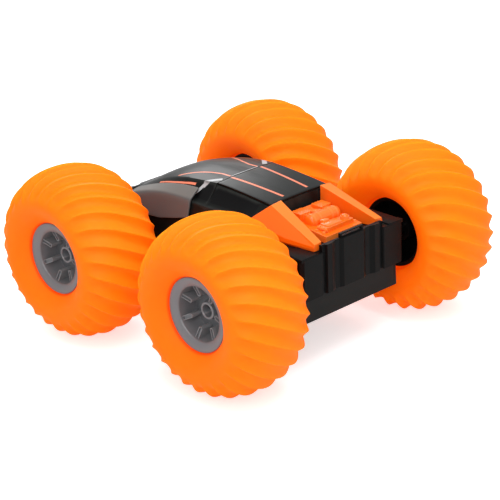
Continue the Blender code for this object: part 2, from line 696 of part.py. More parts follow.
def deck_section():
    """The flat engine deck over the rear axle, with the same number of points. Its sides run on
    from the cabin's, so the step between the two faces one way all across."""
    _, _, shoulder, waist = body_heights(ROOF_LENGTH)
    lean = (waist[0] - shoulder[0]) / (shoulder[1] - waist[1])
    corner = shoulder[0] + lean * (shoulder[1] - DECK_HEIGHT)
    return [
        (0.0, DECK_HEIGHT), (10.0 * MM, DECK_HEIGHT), (20.0 * MM, DECK_HEIGHT),
        (corner, DECK_HEIGHT), waist, (BODY_HALF_WIDTH, 0.6 * MM),
    ]


def upper_shell():
    """The body above the axles: nose, hood, cabin sides and engine deck in one moulding."""
    step = 0.1 * MM
    drop = ROOF_THICKNESS + GAP
    stations = [(SHELL_END, deck_section()), (ROOF_LENGTH + 0.8 * MM, deck_section())]
    for share in (1.0, 0.55, 0.0):
        y = ROOF_LENGTH * share + (step if share == 0.0 else 0.0)
        stations.append((y, half_section(ROOF_LENGTH * share, drop)))
    for share in (0.0, 0.25, 0.42, 0.58, 0.72, 0.86, 1.0):
        y = -SHELL_END * share - (step if share == 0.0 else 0.0)
        stations.append((y, half_section(-SHELL_END * share)))
    shape = bmesh.new()
    rows = []
    for y, half in stations:
        full = [(-x, z) for x, z in reversed(half[1:])] + half
        rows.append([shape.verts.new((x, y, AXLE_HEIGHT + z)) for x, z in full])
    for first, second in zip(rows, rows[1:]):
        for i in range(len(first) - 1):
            shape.faces.new((first[i], first[i + 1], second[i + 1], second[i]))
    shape.faces.new(rows[0])
    shape.faces.new(list(reversed(rows[-1])))
    mesh = mesh_from(shape, "upper_shell")
    shell = add_object("upper_shell", mesh, "black_plastic")
    wall = shell.modifiers.new("wall", "SOLIDIFY")
    wall.thickness = SHELL_WALL
    wall.offset = -1.0
    wall.use_even_offset = True
    cut_axle_holes(shell, "upper")
    for word, side in (("left", 1), ("right", -1)):
        cut(shell, fin_mesh(side, GAP), f"{word}_fin_seat")
    floor = AXLE_HEIGHT + FLOOR + SHELL_WALL + GAP
    hood_height = body_heights(-SCREW_Y - SCREW_POST_RADIUS)[0]
    deck_post, hood_post = DECK_HEIGHT - SHELL_WALL / 2, hood_height - SHELL_WALL / 2
    for word, y, top in (("rear", SCREW_Y, deck_post), ("front", -SCREW_Y, hood_post)):
        end = (0, y, AXLE_HEIGHT + top)
        join(shell, cylinder_mesh("post", SCREW_POST_RADIUS, (0, y, floor), end, 14), f"{word}_screw_post")
        hole = cylinder_mesh("hole", 1.6 * MM, (0, y, floor - CUT), (0, y, floor + 14 * MM), 12)
        cut(shell, hole, f"{word}_screw_post_hole")
    return shell


def roof_panel():
    """The black roof, a thin curved plate from the windscreen ridge to the engine bay."""
    sections = []
    for share in (0.0, 0.28, 0.55, 0.8, 1.0):
        y = ROOF_LENGTH * share
        half = half_section(y)[:3]
        top = [(-x, z) for x, z in reversed(half[1:])] + half
        top = [(x * (1 - 0.012), z) for x, z in top]
        under = [(x, z - ROOF_THICKNESS) for x, z in reversed(top)]
        place = y if share else y + 0.5 * MM
        sections.append([(x, place, AXLE_HEIGHT + z) for x, z in top + under])
    panel = add_object("roof_panel", loft("roof_panel", sections), "black_plastic")
    for word, side in (("left", 1), ("right", -1)):
        cut(panel, fin_mesh(side, GAP), f"{word}_fin_notch")


def fin_mesh(side, grow):
    """A rear buttress: a top strip, a sloping outer face and a flat inner face. grow makes a seat for it."""
    deck = AXLE_HEIGHT + DECK_HEIGHT + GAP - 2 * grow
    front_y = ROOF_LENGTH + 1.0 * MM
    rear_y = SHELL_END - 0.5 * MM
    reach = 10.5 * MM
    wide = BODY_HALF_WIDTH
    roof = AXLE_HEIGHT + ROOF_REAR_HEIGHT
    roof_x = ROOF_HALF_WIDTH - 8.3 * MM
    front = [
        (roof_x - grow, front_y - grow, roof + 0.9 * MM + grow),
        (ROOF_HALF_WIDTH + 1.0 * MM, front_y - grow, roof + 0.1 * MM + grow),
        (wide - 5.9 * MM + grow, front_y - reach - grow, AXLE_HEIGHT + 35.0 * MM + grow),
        (wide - 3.9 * MM + grow, front_y - reach - grow, AXLE_HEIGHT + 27.5 * MM - grow),
        (wide - 8.5 * MM, front_y - grow, deck),
        (roof_x - grow, front_y - grow, deck),
    ]
    middle_y = (front_y + rear_y) / 2
    middle = [
        (roof_x + 3.7 * MM - grow, middle_y, AXLE_HEIGHT + 37.6 * MM + grow),
        (roof_x + 11.4 * MM, middle_y, AXLE_HEIGHT + 36.8 * MM + grow),
        (wide - 9.0 * MM + grow, middle_y, AXLE_HEIGHT + 29.4 * MM + grow),
        (wide - 8.4 * MM + grow, middle_y, AXLE_HEIGHT + 26.6 * MM),
        (wide - 10.0 * MM, middle_y, deck),
        (roof_x + 3.7 * MM - grow, middle_y, deck),
    ]
    rear = [
        (roof_x + 7.3 * MM - grow, rear_y, AXLE_HEIGHT + 29.6 * MM + grow),
        (roof_x + 13.5 * MM, rear_y, AXLE_HEIGHT + 29.0 * MM + grow),
        (roof_x + 14.2 * MM + grow, rear_y, AXLE_HEIGHT + 27.6 * MM),
        (roof_x + 14.3 * MM + grow, rear_y, AXLE_HEIGHT + 26.4 * MM),
        (roof_x + 13.9 * MM, rear_y, deck),
        (roof_x + 7.3 * MM - grow, rear_y, deck),
    ]
    sections = [[(side * x, y, z) for x, y, z in section] for section in (front, middle, rear)]
    return loft("fin", sections, first_cap=[(0, 1, 4, 5), (1, 2, 3), (1, 3, 4)])


def fins():
    for word, side in (("left", 1), ("right", -1)):
        add_object(f"{word}_rear_fin", fin_mesh(side, 0.0), "gloss_orange")


def engine_cover():
    """The orange engine moulding: a block with two heads, a barrel across it and an oil cap."""
    deck = AXLE_HEIGHT + DECK_HEIGHT + GAP
    front, rear = ROOF_LENGTH + 4.0 * MM, SHELL_END - 4.5 * MM
    length = rear - front
    outline = [
        (front, deck), (rear, deck), (rear, deck + 4.6 * MM),
        (front + 0.35 * length, deck + 7.0 * MM), (front, deck + 11.5 * MM),
    ]
    wide = 17.2 * MM
    cover = add_object("engine_cover", extruded("engine_cover", outline, -wide, wide, 0), "gloss_orange")
    barrel_y = front + 0.42 * length
    barrel_z = deck + 7.6 * MM
    barrel = cylinder_mesh(
        "barrel", 5.2 * MM, (-12.5 * MM, barrel_y, barrel_z), (11.0 * MM, barrel_y, barrel_z), 16
    )
    join(cover, barrel, "engine_barrel")
    head_rear = front + 0.3 * length
    for word, side in (("left", 1), ("right", -1)):
        xs = sorted((side * 4.5 * MM, side * 14.5 * MM))
        head = box_mesh(
            "head", (xs[0], front + 2.0 * MM, deck + 2 * MM), (xs[1], head_rear, deck + 13.0 * MM)
        )
        join(cover, head, f"engine_head_{word}")
    pan = box_mesh(
        "pan", (-13.0 * MM, front + 0.66 * length, deck + 2 * MM),
        (11.5 * MM, front + 0.9 * length, deck + 8.2 * MM),
    )
    join(cover, pan, "engine_rear_block")
    cap_x, cap_y = -9.0 * MM, front + 0.78 * length
    cap = cylinder_mesh("cap", 2.6 * MM, (cap_x, cap_y, deck + 6 * MM), (cap_x, cap_y, deck + 10 * MM), 12)
    join(cover, cap, "engine_oil_cap")


def fender_mesh(side):
    """A grey cowl over a front shoulder: flat along its top, falling steeply to the side."""
    sections = []
    rows = (
        # share of the hood's length, inner edge x, foot z
        (0.13, 33.5 * MM, 24.0 * MM),
        (0.25, 33.2 * MM, 21.0 * MM),
        (0.42, 32.5 * MM, 17.5 * MM),
        (0.58, 32.0 * MM, 16.5 * MM),
        (0.78, 32.0 * MM, 15.0 * MM),
    )
    for share, inner_x, foot in rows:
        y = -SHELL_END * share
        _, edge_point, shoulder, waist = body_heights(y)
        lean = (waist[0] - shoulder[0]) / (shoulder[1] - waist[1])
        foot_x = shoulder[0] + lean * (shoulder[1] - foot)
        fall = (edge_point[1] - shoulder[1]) / (shoulder[0] - edge_point[0])
        inner = [
            (inner_x, shoulder[1] + fall * (shoulder[0] - inner_x) + FENDER_GAP),
            (shoulder[0] + FENDER_GAP, shoulder[1] + FENDER_GAP),
            (foot_x + FENDER_GAP, foot),
        ]
        outer = [
            (inner[2][0] + FENDER_WALL, foot),
            (shoulder[0] + FENDER_GAP + FENDER_WALL, shoulder[1] + FENDER_GAP + FENDER_WALL),
            (inner_x, inner[0][1] + FENDER_WALL),
        ]
        sections.append([(side * x, y, AXLE_HEIGHT + z) for x, z in inner + outer])
    return loft("fender", sections)


def fenders():
    for word, side in (("left", 1), ("right", -1)):
        add_object(f"{word}_front_fender", fender_mesh(side), "fender_grey")


def bumper(name, end):
    """A moulded end panel with two cheeks that reach back past the axle sleeves."""
    face, back = BUMPER_END, SHELL_END + GAP
    cheek = WHEELBASE / 2 - 10.0 * MM
    outer, inner = CHEEK_OUT, CHEEK_OUT - CHEEK_WALL
    half = [
        (9.5 * MM, face), (12.5 * MM, face - 1.5 * MM), (16.5 * MM, face - 1.5 * MM),
        (20.5 * MM, face), (25.0 * MM, face), (26.0 * MM, face - 2.0 * MM), (28.5 * MM, face - 2.0 * MM),
        (29.5 * MM, face), (outer - 2.0 * MM, face), (outer, face - 2.5 * MM),
        (outer, cheek), (inner, cheek), (inner, back),
    ]
    outline = half + [(-x, y) for x, y in reversed(half)]
    outline = [(x, end * y) for x, y in outline]
    top = BUMPER_HEIGHT if end > 0 else NOSE_HEIGHT + 1.0 * MM
    side_top = DECK_HEIGHT if end > 0 else NOSE_HEIGHT - 3.0 * MM
    low = AXLE_HEIGHT - BUMPER_SKIRT
    panel = add_object(name, extruded(name, outline, low, AXLE_HEIGHT + top, 2), "black_plastic")
    ys = sorted((end * (cheek - CUT), end * (face + CUT)))
    for word, side in (("left", 1), ("right", -1)):
        xs = sorted((side * 29.0 * MM, side * (outer + CUT)))
        low_z = AXLE_HEIGHT + side_top
        slab = box_mesh("slab", (xs[0], ys[0], low_z), (xs[1], ys[1], AXLE_HEIGHT + top + CUT))
        cut(panel, slab, f"{name}_{word}_step")
    cut_axle_holes(panel, name)
    if end > 0:
        bar_low, bar_high = AXLE_HEIGHT + top - 1.0 * MM, AXLE_HEIGHT + top + 2.8 * MM
        bar = box_mesh("bar", (-11.0 * MM, back, bar_low), (11.0 * MM, back + 2.0 * MM, bar_high))
        join(panel, bar, "bumper_bar")
        slot = box_mesh(
            "slot", (-9.0 * MM, back - CUT, bar_low + 1.8 * MM), (9.0 * MM, face + CUT, bar_high - 0.8 * MM)
        )
        cut(panel, slot, "bumper_bar_slot")


# ---- Electric parts and fasteners ------------------------------------------------------------

def electric_parts():
    floor = AXLE_HEIGHT + FLOOR
    size = BATTERY_SIZE
    low = (-size[0] / 2, -size[1] / 2, AXLE_HEIGHT + BATTERY_Z)
    high = (size[0] / 2, size[1] / 2, AXLE_HEIGHT + BATTERY_Z + size[2])
    add_object("battery_pack", box_mesh("battery_pack", low, high), "battery_wrap")
    size = BOARD_SIZE
    board_z = AXLE_HEIGHT + BATTERY_Z + BATTERY_SIZE[2] + 5.0 * MM
    low = (-size[0] / 2, -size[1] / 2, board_z)
    high = (size[0] / 2, size[1] / 2, board_z + size[2])
    board = add_object("receiver_board", box_mesh("receiver_board", low, high), "board_green")
    chip = box_mesh(
        "chip", (-6 * MM, -5 * MM, board_z + size[2] / 2), (6 * MM, 5 * MM, board_z + size[2] + 2.0 * MM)
    )
    join(board, chip, "receiver_chip")
    half_x, half_y = DOOR_SIZE[0] / 2, DOOR_SIZE[1] / 2
    door = add_object(
        "battery_door",
        box_mesh("battery_door", (-half_x, -half_y, floor), (half_x, half_y, floor + DOOR_THICKNESS)),
        "black_plastic",
    )
    hole = cylinder_mesh("hole", 1.5 * MM, (0, DOOR_SCREW_Y, floor - CUT), (0, DOOR_SCREW_Y, floor + CUT), 12)
    cut(door, hole, "door_hole")
    size = SWITCH_SIZE
    seat = floor + SHELL_WALL + GAP
    low = (-size[0] / 2, SWITCH_Y - size[1] / 2, seat)
    high = (size[0] / 2, SWITCH_Y + size[1] / 2, seat + size[2])
    switch = add_object("power_switch", box_mesh("power_switch", low, high), "black_plastic")
    knob = SLIDER_HALF
    track, side_track = SWITCH_TRAVEL / 2 + knob + GAP, knob + GAP
    slot = box_mesh(
        "slot", (-side_track, SWITCH_Y - track, seat - CUT), (side_track, SWITCH_Y + track, seat + 2.4 * MM)
    )
    cut(switch, slot, "switch_track")
    middle = SWITCH_Y - SWITCH_TRAVEL / 2
    low = (-knob, middle - knob, floor - 0.8 * MM)
    high = (knob, middle + knob, seat + 2.0 * MM)
    add_object("switch_slider", box_mesh("switch_slider", low, high), "white_nylon")


def upright_screw(name, y, head_z, head_radius, head_height, shank_radius, length):
    """A screw driven up from below, its head's underside showing."""
    seat = bpy.data.objects.new(f"{name}_seat", None)
    CAR.objects.link(seat)
    seat.location = (0.0, y, head_z)
    turned(
        name,
        [
            (0.0, length), (shank_radius, length - 0.6 * MM), (shank_radius, head_height),
            (head_radius, head_height), (head_radius, 0.3 * MM), (head_radius - 0.4 * MM, 0.0), (0.0, 0.0),
        ],
        "steel", seat, 12,
    )


def fasteners():
    floor = AXLE_HEIGHT + FLOOR
    for word, y in (("rear", SCREW_Y), ("front", -SCREW_Y)):
        upright_screw(
            f"{word}_body_screw", y, floor - 0.7 * MM, head_radius=2.7 * MM, head_height=1.3 * MM,
            shank_radius=1.2 * MM, length=12.0 * MM,
        )
    upright_screw(
        "battery_door_screw", DOOR_SCREW_Y, floor - 1.7 * MM, head_radius=2.4 * MM,
        head_height=1.4 * MM, shank_radius=1.1 * MM, length=5.5 * MM,
    )


for place_word, side_sign, end_sign in (
    ("front_left", 1, -1), ("rear_left", 1, 1), ("front_right", -1, -1), ("rear_right", -1, 1),
):
    wheel_set(place_word, side_sign, end_sign)
gear_train("left", 1, 2 * GEAR_RADIUS)
gear_train("right", -1, -2 * GEAR_RADIUS)
lower_shell()
upper_shell()
roof_panel()
fins()
engine_cover()
fenders()
bumper("rear_bumper", 1)
bumper("front_bumper", -1)
electric_parts()
fasteners()
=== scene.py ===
# %% [markdown]
# # A stunt car between four balloon tyres
#
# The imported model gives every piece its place: where the axles are, how wide the body is and which
# body each piece moves with. This lesson gives those pieces their looks. The tyres, hubs, shell and
# engine are modelled anew around the frame, and the flat-sided pieces keep their CAD shape with
# rounded edges and a proper finish.

# %% Load the frame
import math

import bmesh
import bpy
from mathutils import Matrix, Vector


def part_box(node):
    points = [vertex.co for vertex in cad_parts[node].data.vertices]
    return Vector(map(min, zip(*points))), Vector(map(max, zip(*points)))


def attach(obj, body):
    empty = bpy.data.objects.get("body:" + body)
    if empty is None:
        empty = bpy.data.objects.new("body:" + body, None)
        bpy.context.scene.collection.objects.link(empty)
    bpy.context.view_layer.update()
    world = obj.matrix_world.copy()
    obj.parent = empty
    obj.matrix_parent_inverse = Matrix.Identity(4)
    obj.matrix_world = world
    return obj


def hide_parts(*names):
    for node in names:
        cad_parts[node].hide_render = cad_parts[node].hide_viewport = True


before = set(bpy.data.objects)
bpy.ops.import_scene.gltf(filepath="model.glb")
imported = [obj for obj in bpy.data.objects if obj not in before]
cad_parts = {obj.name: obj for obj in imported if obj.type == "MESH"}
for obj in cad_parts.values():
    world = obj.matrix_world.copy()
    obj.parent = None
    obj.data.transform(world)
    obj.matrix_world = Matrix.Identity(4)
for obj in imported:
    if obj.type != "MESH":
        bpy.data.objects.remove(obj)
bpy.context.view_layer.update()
MM = 0.001

# %% [markdown]
# The whole car hangs on a few sizes. They are measured from the frame, so that the looks follow the
# CAD: a tyre's box gives the wheel's centre and radius, and the shell's box gives the body.

# %% Read the driving sizes
tyre_low, tyre_high = (Vector(corner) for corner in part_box("rear_left_tyre"))
shell_low, shell_high = (Vector(corner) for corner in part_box("upper_shell"))
roof_high = Vector(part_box("roof_panel")[1])
TYRE_RADIUS = (tyre_high.z - tyre_low.z) / 2
TYRE_HALF = (tyre_high.x - tyre_low.x) / 2
AXLE_HEIGHT = TYRE_RADIUS
WHEEL_X = (tyre_low.x + tyre_high.x) / 2
WHEEL_Y = (tyre_low.y + tyre_high.y) / 2
BODY_HALF = shell_high.x
SHELL_END = shell_high.y
SPLIT_Z = shell_low.z
SIDES, ENDS = (("left", 1), ("right", -1)), (("rear", 1), ("front", -1))
PLACES = [(f"{end}_{side}", x, y) for end, y in ENDS for side, x in SIDES]
print("wheel centre", round(WHEEL_X / MM, 1), round(WHEEL_Y / MM, 1), "radius", round(TYRE_RADIUS / MM, 1))

# %% [markdown]
# The camera looks from behind and to the left of the car, slightly down, through a long lens. A long
# lens from far away keeps the four wheels nearly the same size, as in a catalogue picture.

# %% Place the camera
AZIMUTH, ELEVATION, ROLL = math.radians(136.38), math.radians(21.94), math.radians(-2.12)
DISTANCE = 1290.4 * MM
LENS, SENSOR = 133.95, 36.0
SHIFT_X, SHIFT_Y = 0.0044, -0.0273
AIM = Vector((0.0, 0.0, 60.0 * MM))


def add_camera():
    back = Vector((
        math.sin(AZIMUTH) * math.cos(ELEVATION), -math.cos(AZIMUTH) * math.cos(ELEVATION), math.sin(ELEVATION)
    ))
    right = (-back).cross(Vector((0.0, 0.0, 1.0))).normalized()
    up = right.cross(-back)
    turned_right = right * math.cos(ROLL) + up * math.sin(ROLL)
    turned_up = up * math.cos(ROLL) - right * math.sin(ROLL)
    camera = bpy.data.objects.new("camera", bpy.data.cameras.new("camera"))
    axes = Matrix((turned_right, turned_up, back)).transposed().to_4x4()
    camera.matrix_world = Matrix.Translation(AIM + back * DISTANCE) @ axes
    camera.data.lens, camera.data.sensor_width = LENS, SENSOR
    camera.data.shift_x, camera.data.shift_y = SHIFT_X, SHIFT_Y
    camera.data.clip_start = 0.05
    bpy.context.scene.collection.objects.link(camera)
    bpy.context.scene.camera = camera
    return camera


print("camera at", [round(v, 3) for v in add_camera().location])

# %% [markdown]
# A studio shot of a toy has a big soft light overhead, a weaker one from each side, and a floor that
# melts into the background. The floor is one wide plane in a pale paint.

# %% Light the studio
def add_area_light(name, place, aim, size, power, tint=(1.0, 1.0, 1.0)):
    light = bpy.data.lights.new(name, "AREA")
    light.shape, light.size, light.energy, light.color = "DISK", size, power, tint
    lamp = bpy.data.objects.new(name, light)
    lamp.location = place
    lamp.rotation_euler = (Vector(aim) - Vector(place)).to_track_quat("-Z", "Y").to_euler()
    bpy.context.scene.collection.objects.link(lamp)
    return lamp


def add_studio():
    world = bpy.data.worlds.new("studio_air")
    world.use_nodes = True
    world.node_tree.nodes["Background"].inputs["Color"].default_value = (1.0, 1.0, 1.0, 1.0)
    world.node_tree.nodes["Background"].inputs["Strength"].default_value = 0.62
    bpy.context.scene.world = world
    bpy.context.scene.view_settings.view_transform = "Standard"
    aim = (0.0, 0.0, 0.05)
    add_area_light("overhead_softbox", (0.15, 0.25, 1.0), aim, 0.9, 6.5)
    add_area_light("rear_left_softbox", (0.9, 0.75, 0.75), aim, 0.7, 4.2)
    add_area_light("nose_rim_light", (-0.6, -0.9, 0.6), aim, 0.5, 2.6)


add_studio()
floor_shape = bmesh.new()
bmesh.ops.create_grid(floor_shape, x_segments=2, y_segments=2, size=6.0)
floor_mesh = bpy.data.meshes.new("studio_floor")
floor_shape.to_mesh(floor_mesh)
floor_shape.free()
studio_floor = bpy.data.objects.new("studio_floor", floor_mesh)
bpy.context.scene.collection.objects.link(studio_floor)
print("studio ready")

# %% [markdown]
# Plastics differ less in colour than in their skin. Four small shader groups carry that skin, and
# each finish below places them with its own values: a slow drift between two colours, a fine moulded
# grain, worn edges, and handling scuffs that dull the gloss.

# %% Build the shared shader groups
def add_group(name, inputs, outputs):
    group = bpy.data.node_groups.new(name, "ShaderNodeTree")
    for label, kind, value in inputs:
        socket = group.interface.new_socket(label, in_out="INPUT", socket_type=kind)
        socket.default_value = value
    for label, kind in outputs:
        group.interface.new_socket(label, in_out="OUTPUT", socket_type=kind)
    return group, group.nodes.new("NodeGroupInput"), group.nodes.new("NodeGroupOutput")


def add_node(tree, kind, links=(), **settings):
    """A node with plain settings and values, joined to what feeds it: links are (input, source)."""
    node = tree.nodes.new(kind)
    values = settings.pop("values", {})
    for key, value in settings.items():
        setattr(node, key, value)
    for key, value in values.items():
        node.inputs[key].default_value = value
    for key, source in links:
        tree.links.new(source, node.inputs[key])
    return node


COLOUR, FLOAT, VECTOR = "NodeSocketColor", "NodeSocketFloat", "NodeSocketVector"


def build_drift_group():
    group, inlet, outlet = add_group(
        "Colour Drift",
        [("Colour", COLOUR, (1, 1, 1, 1)), ("Second Colour", COLOUR, (0, 0, 0, 1)), ("Scale", FLOAT, 30.0)],
        [("Colour", COLOUR)],
    )
    place = add_node(group, "ShaderNodeTexCoord")
    noise = add_node(
        group, "ShaderNodeTexNoise", [("Vector", place.outputs["Object"]), ("Scale", inlet.outputs["Scale"])],
        values={"Detail": 3.0, "Roughness": 0.55},
    )
    mix = add_node(
        group, "ShaderNodeMix",
        [(0, noise.outputs["Fac"]), (6, inlet.outputs["Colour"]), (7, inlet.outputs["Second Colour"])],
        data_type="RGBA",
    )
    group.links.new(mix.outputs[2], outlet.inputs["Colour"])
    return group


def build_grain_group():
    group, inlet, outlet = add_group(
        "Moulded Grain", [("Scale", FLOAT, 1500.0)], [("Height", FLOAT), ("Speckle", FLOAT)]
    )
    place = add_node(group, "ShaderNodeTexCoord")
    fine = add_node(
        group, "ShaderNodeTexNoise", [("Vector", place.outputs["Object"]), ("Scale", inlet.outputs["Scale"])],
        values={"Detail": 2.0, "Roughness": 0.6},
    )
    coarse_scale = add_node(
        group, "ShaderNodeMath", [(0, inlet.outputs["Scale"])], operation="MULTIPLY", values={1: 0.12}
    )
    coarse = add_node(
        group, "ShaderNodeTexNoise", [("Vector", place.outputs["Object"]), ("Scale", coarse_scale.outputs[0])],
        values={"Detail": 1.0},
    )
    both = add_node(
        group, "ShaderNodeMath", [(0, fine.outputs["Fac"]), (1, coarse.outputs["Fac"])], operation="ADD"
    )
    group.links.new(both.outputs[0], outlet.inputs["Height"])
    group.links.new(coarse.outputs["Fac"], outlet.inputs["Speckle"])
    return group


def build_wear_group():
    group, inlet, outlet = add_group(
        "Edge Wear", [("Sharpness", FLOAT, 0.54), ("Break Up", FLOAT, 260.0)], [("Mask", FLOAT)]
    )
    place = add_node(group, "ShaderNodeTexCoord")
    shape = add_node(group, "ShaderNodeNewGeometry")
    noise = add_node(
        group, "ShaderNodeTexNoise", [("Vector", place.outputs["Object"]), ("Scale", inlet.outputs["Break Up"])],
        values={"Detail": 4.0, "Roughness": 0.7},
    )
    rise = add_node(
        group, "ShaderNodeMath", [(0, inlet.outputs["Sharpness"])], operation="ADD", values={1: 0.09}
    )
    edge = add_node(
        group, "ShaderNodeMapRange",
        [
            ("Value", shape.outputs["Pointiness"]), ("From Min", inlet.outputs["Sharpness"]),
            ("From Max", rise.outputs[0]),
        ],
    )
    mask = add_node(
        group, "ShaderNodeMath", [(0, edge.outputs[0]), (1, noise.outputs["Fac"])], operation="MULTIPLY"
    )
    group.links.new(mask.outputs[0], outlet.inputs["Mask"])
    return group


def build_scuff_group():
    group, inlet, outlet = add_group("Scuffs", [("Scale", FLOAT, 90.0)], [("Mask", FLOAT)])
    place = add_node(group, "ShaderNodeTexCoord")
    stretch = add_node(
        group, "ShaderNodeMapping", [("Vector", place.outputs["Object"])],
        values={"Scale": (1.0, 0.16, 1.4), "Rotation": (0.3, 0.2, 0.5)},
    )
    noise = add_node(
        group, "ShaderNodeTexNoise", [("Vector", stretch.outputs[0]), ("Scale", inlet.outputs["Scale"])],
        values={"Detail": 5.0, "Roughness": 0.65},
    )
    streaks = add_node(
        group, "ShaderNodeMapRange", [("Value", noise.outputs["Fac"])], values={"From Min": 0.52, "From Max": 0.72}
    )
    group.links.new(streaks.outputs[0], outlet.inputs["Mask"])
    return group


DRIFT, GRAIN = build_drift_group(), build_grain_group()
WEAR, SCUFFS = build_wear_group(), build_scuff_group()
print("groups", [group.name for group in (DRIFT, GRAIN, WEAR, SCUFFS)])

# %% [markdown]
# Printed stripes run over the hood and roof. Seen from above each one is a straight band with square
# ends, so a mask needs only the two ends of its middle line and half its width. The mask works in the
# plan view, which lets the stripe follow the crown of the panel below it.

# %% Build the stripe group
def build_stripe_group():
    group, inlet, outlet = add_group(
        "Printed Stripe",
        [("Start", VECTOR, (0, 0, 0)), ("End", VECTOR, (0, 1, 0)), ("Half Width", FLOAT, 0.001)],
        [("Mask", FLOAT)],
    )
    place = add_node(group, "ShaderNodeTexCoord")
    flat = [
        add_node(group, "ShaderNodeVectorMath", [(0, source)], operation="MULTIPLY", values={1: (1, 1, 0)})
        for source in (place.outputs["Object"], inlet.outputs["Start"], inlet.outputs["End"])
    ]
    run = add_node(
        group, "ShaderNodeVectorMath", [(0, flat[2].outputs[0]), (1, flat[1].outputs[0])], operation="SUBTRACT"
    )
    length = add_node(group, "ShaderNodeVectorMath", [(0, run.outputs[0])], operation="LENGTH")
    along = add_node(group, "ShaderNodeVectorMath", [(0, run.outputs[0])], operation="NORMALIZE")
    away = add_node(
        group, "ShaderNodeVectorMath", [(0, flat[0].outputs[0]), (1, flat[1].outputs[0])], operation="SUBTRACT"
    )
    travelled = add_node(
        group, "ShaderNodeVectorMath", [(0, away.outputs[0]), (1, along.outputs[0])], operation="DOT_PRODUCT"
    )
    side = add_node(
        group, "ShaderNodeVectorMath", [(0, away.outputs[0]), (1, along.outputs[0])], operation="CROSS_PRODUCT"
    )
    distance = add_node(group, "ShaderNodeVectorMath", [(0, side.outputs[0])], operation="LENGTH")
    inside = add_node(
        group, "ShaderNodeMath", [(0, distance.outputs["Value"]), (1, inlet.outputs["Half Width"])],
        operation="LESS_THAN",
    )
    past_start = add_node(
        group, "ShaderNodeMath", [(0, travelled.outputs["Value"])], operation="GREATER_THAN", values={1: 0.0}
    )
    before_end = add_node(
        group, "ShaderNodeMath", [(0, travelled.outputs["Value"]), (1, length.outputs["Value"])],
        operation="LESS_THAN",
    )
    both = add_node(
        group, "ShaderNodeMath", [(0, inside.outputs[0]), (1, past_start.outputs[0])], operation="MULTIPLY"
    )
    mask = add_node(
        group, "ShaderNodeMath", [(0, both.outputs[0]), (1, before_end.outputs[0])], operation="MULTIPLY"
    )
    group.links.new(mask.outputs[0], outlet.inputs["Mask"])
    return group


STRIPE = build_stripe_group()
print("group", STRIPE.name)

# %% [markdown]
# Every finish is the same short recipe with other numbers: drifting colour, worn edges in a second
# colour, a roughness that the scuffs raise, and a bump from the grain. The shader itself stays in the
# material, where its gloss values are set directly.

# %% Mix a finish
def linear(red, green, blue):
    """A screen colour of 0 to 255 as the linear colour that a shader expects."""
    parts = []
    for value in (red, green, blue):
        share = value / 255
        parts.append(share / 12.92 if share <= 0.04045 else ((share + 0.055) / 1.055) ** 2.4)
    return (*parts, 1.0)


def place_group(tree, group, **values):
    node = add_node(tree, "ShaderNodeGroup", node_tree=group)
    for key, value in values.items():
        node.inputs[key.replace("_", " ").title()].default_value = value
    return node


def mix_colours(tree, mask, first, second):
    """The first colour, going over to the second where the mask is 1. Either may be plain or a socket."""
    mix = add_node(tree, "ShaderNodeMix", [(0, mask)], data_type="RGBA")
    for index, colour in ((6, first), (7, second)):
        if isinstance(colour, tuple):
            mix.inputs[index].default_value = colour
        else:
            tree.links.new(colour, mix.inputs[index])
    return mix.outputs[2]


def mix_finish(
    name, colour, second, worn, gloss, scuffed, grain, depth, drift=30.0, sharpness=0.54, print_on=None, **sockets
):
    """A moulded or metal finish. gloss and scuffed are its roughness as new and where it is handled."""
    made = bpy.data.materials.new(name)
    made.use_nodes = True
    tree = made.node_tree
    shader = tree.nodes["Principled BSDF"]
    base = place_group(tree, DRIFT, colour=colour, second_colour=second, scale=drift).outputs["Colour"]
    if print_on:
        base = print_on(tree, base)
    wear = place_group(tree, WEAR, sharpness=sharpness).outputs["Mask"]
    tree.links.new(mix_colours(tree, wear, base, worn), shader.inputs["Base Color"])
    scuffs = place_group(tree, SCUFFS).outputs["Mask"]
    rough = add_node(
        tree, "ShaderNodeMapRange", [("Value", scuffs)], values={"To Min": gloss, "To Max": scuffed}
    )
    tree.links.new(rough.outputs[0], shader.inputs["Roughness"])
    skin = place_group(tree, GRAIN, scale=grain)
    bump = add_node(
        tree, "ShaderNodeBump", [("Height", skin.outputs["Height"])],
        values={"Strength": depth, "Distance": 0.2 * MM},
    )
    tree.links.new(bump.outputs[0], shader.inputs["Normal"])
    for key, value in sockets.items():
        shader.inputs[key.replace("_", " ").title().replace("Ior", "IOR")].default_value = value
    return made


print("a mid grey is", round(linear(128, 128, 128)[0], 3), "in linear light")

# %% [markdown]
# The plastics: black for the body, grey for the hubs, and a glossy orange for the engine. The inner
# workings get nylon, steel, brass and their own wraps.

# %% Mix the plastics and metals
body_black = mix_finish(
    "body_black", linear(8, 9, 9), linear(12, 13, 13), linear(36, 37, 37), 0.36, 0.5, 1400.0, 0.16,
    specular_ior_level=0.1,
)
hub_grey = mix_finish(
    "hub_grey", linear(116, 117, 120), linear(126, 127, 130), linear(160, 160, 162), 0.34, 0.45, 1600.0, 0.14,
    metallic=0.25,
)
gloss_orange = mix_finish(
    "gloss_orange", linear(250, 106, 12), linear(253, 114, 20), linear(255, 160, 84), 0.24, 0.34, 1200.0, 0.06,
    specular_ior_level=0.45,
)
steel = mix_finish(
    "steel", linear(186, 188, 192), linear(170, 172, 176), linear(220, 220, 222), 0.26, 0.4, 700.0, 0.1,
    metallic=1.0,
)
nylon = mix_finish(
    "nylon", linear(226, 222, 210), linear(214, 210, 198), linear(240, 238, 230), 0.42, 0.52, 900.0, 0.1,
    subsurface_weight=0.15, subsurface_scale=0.002,
)
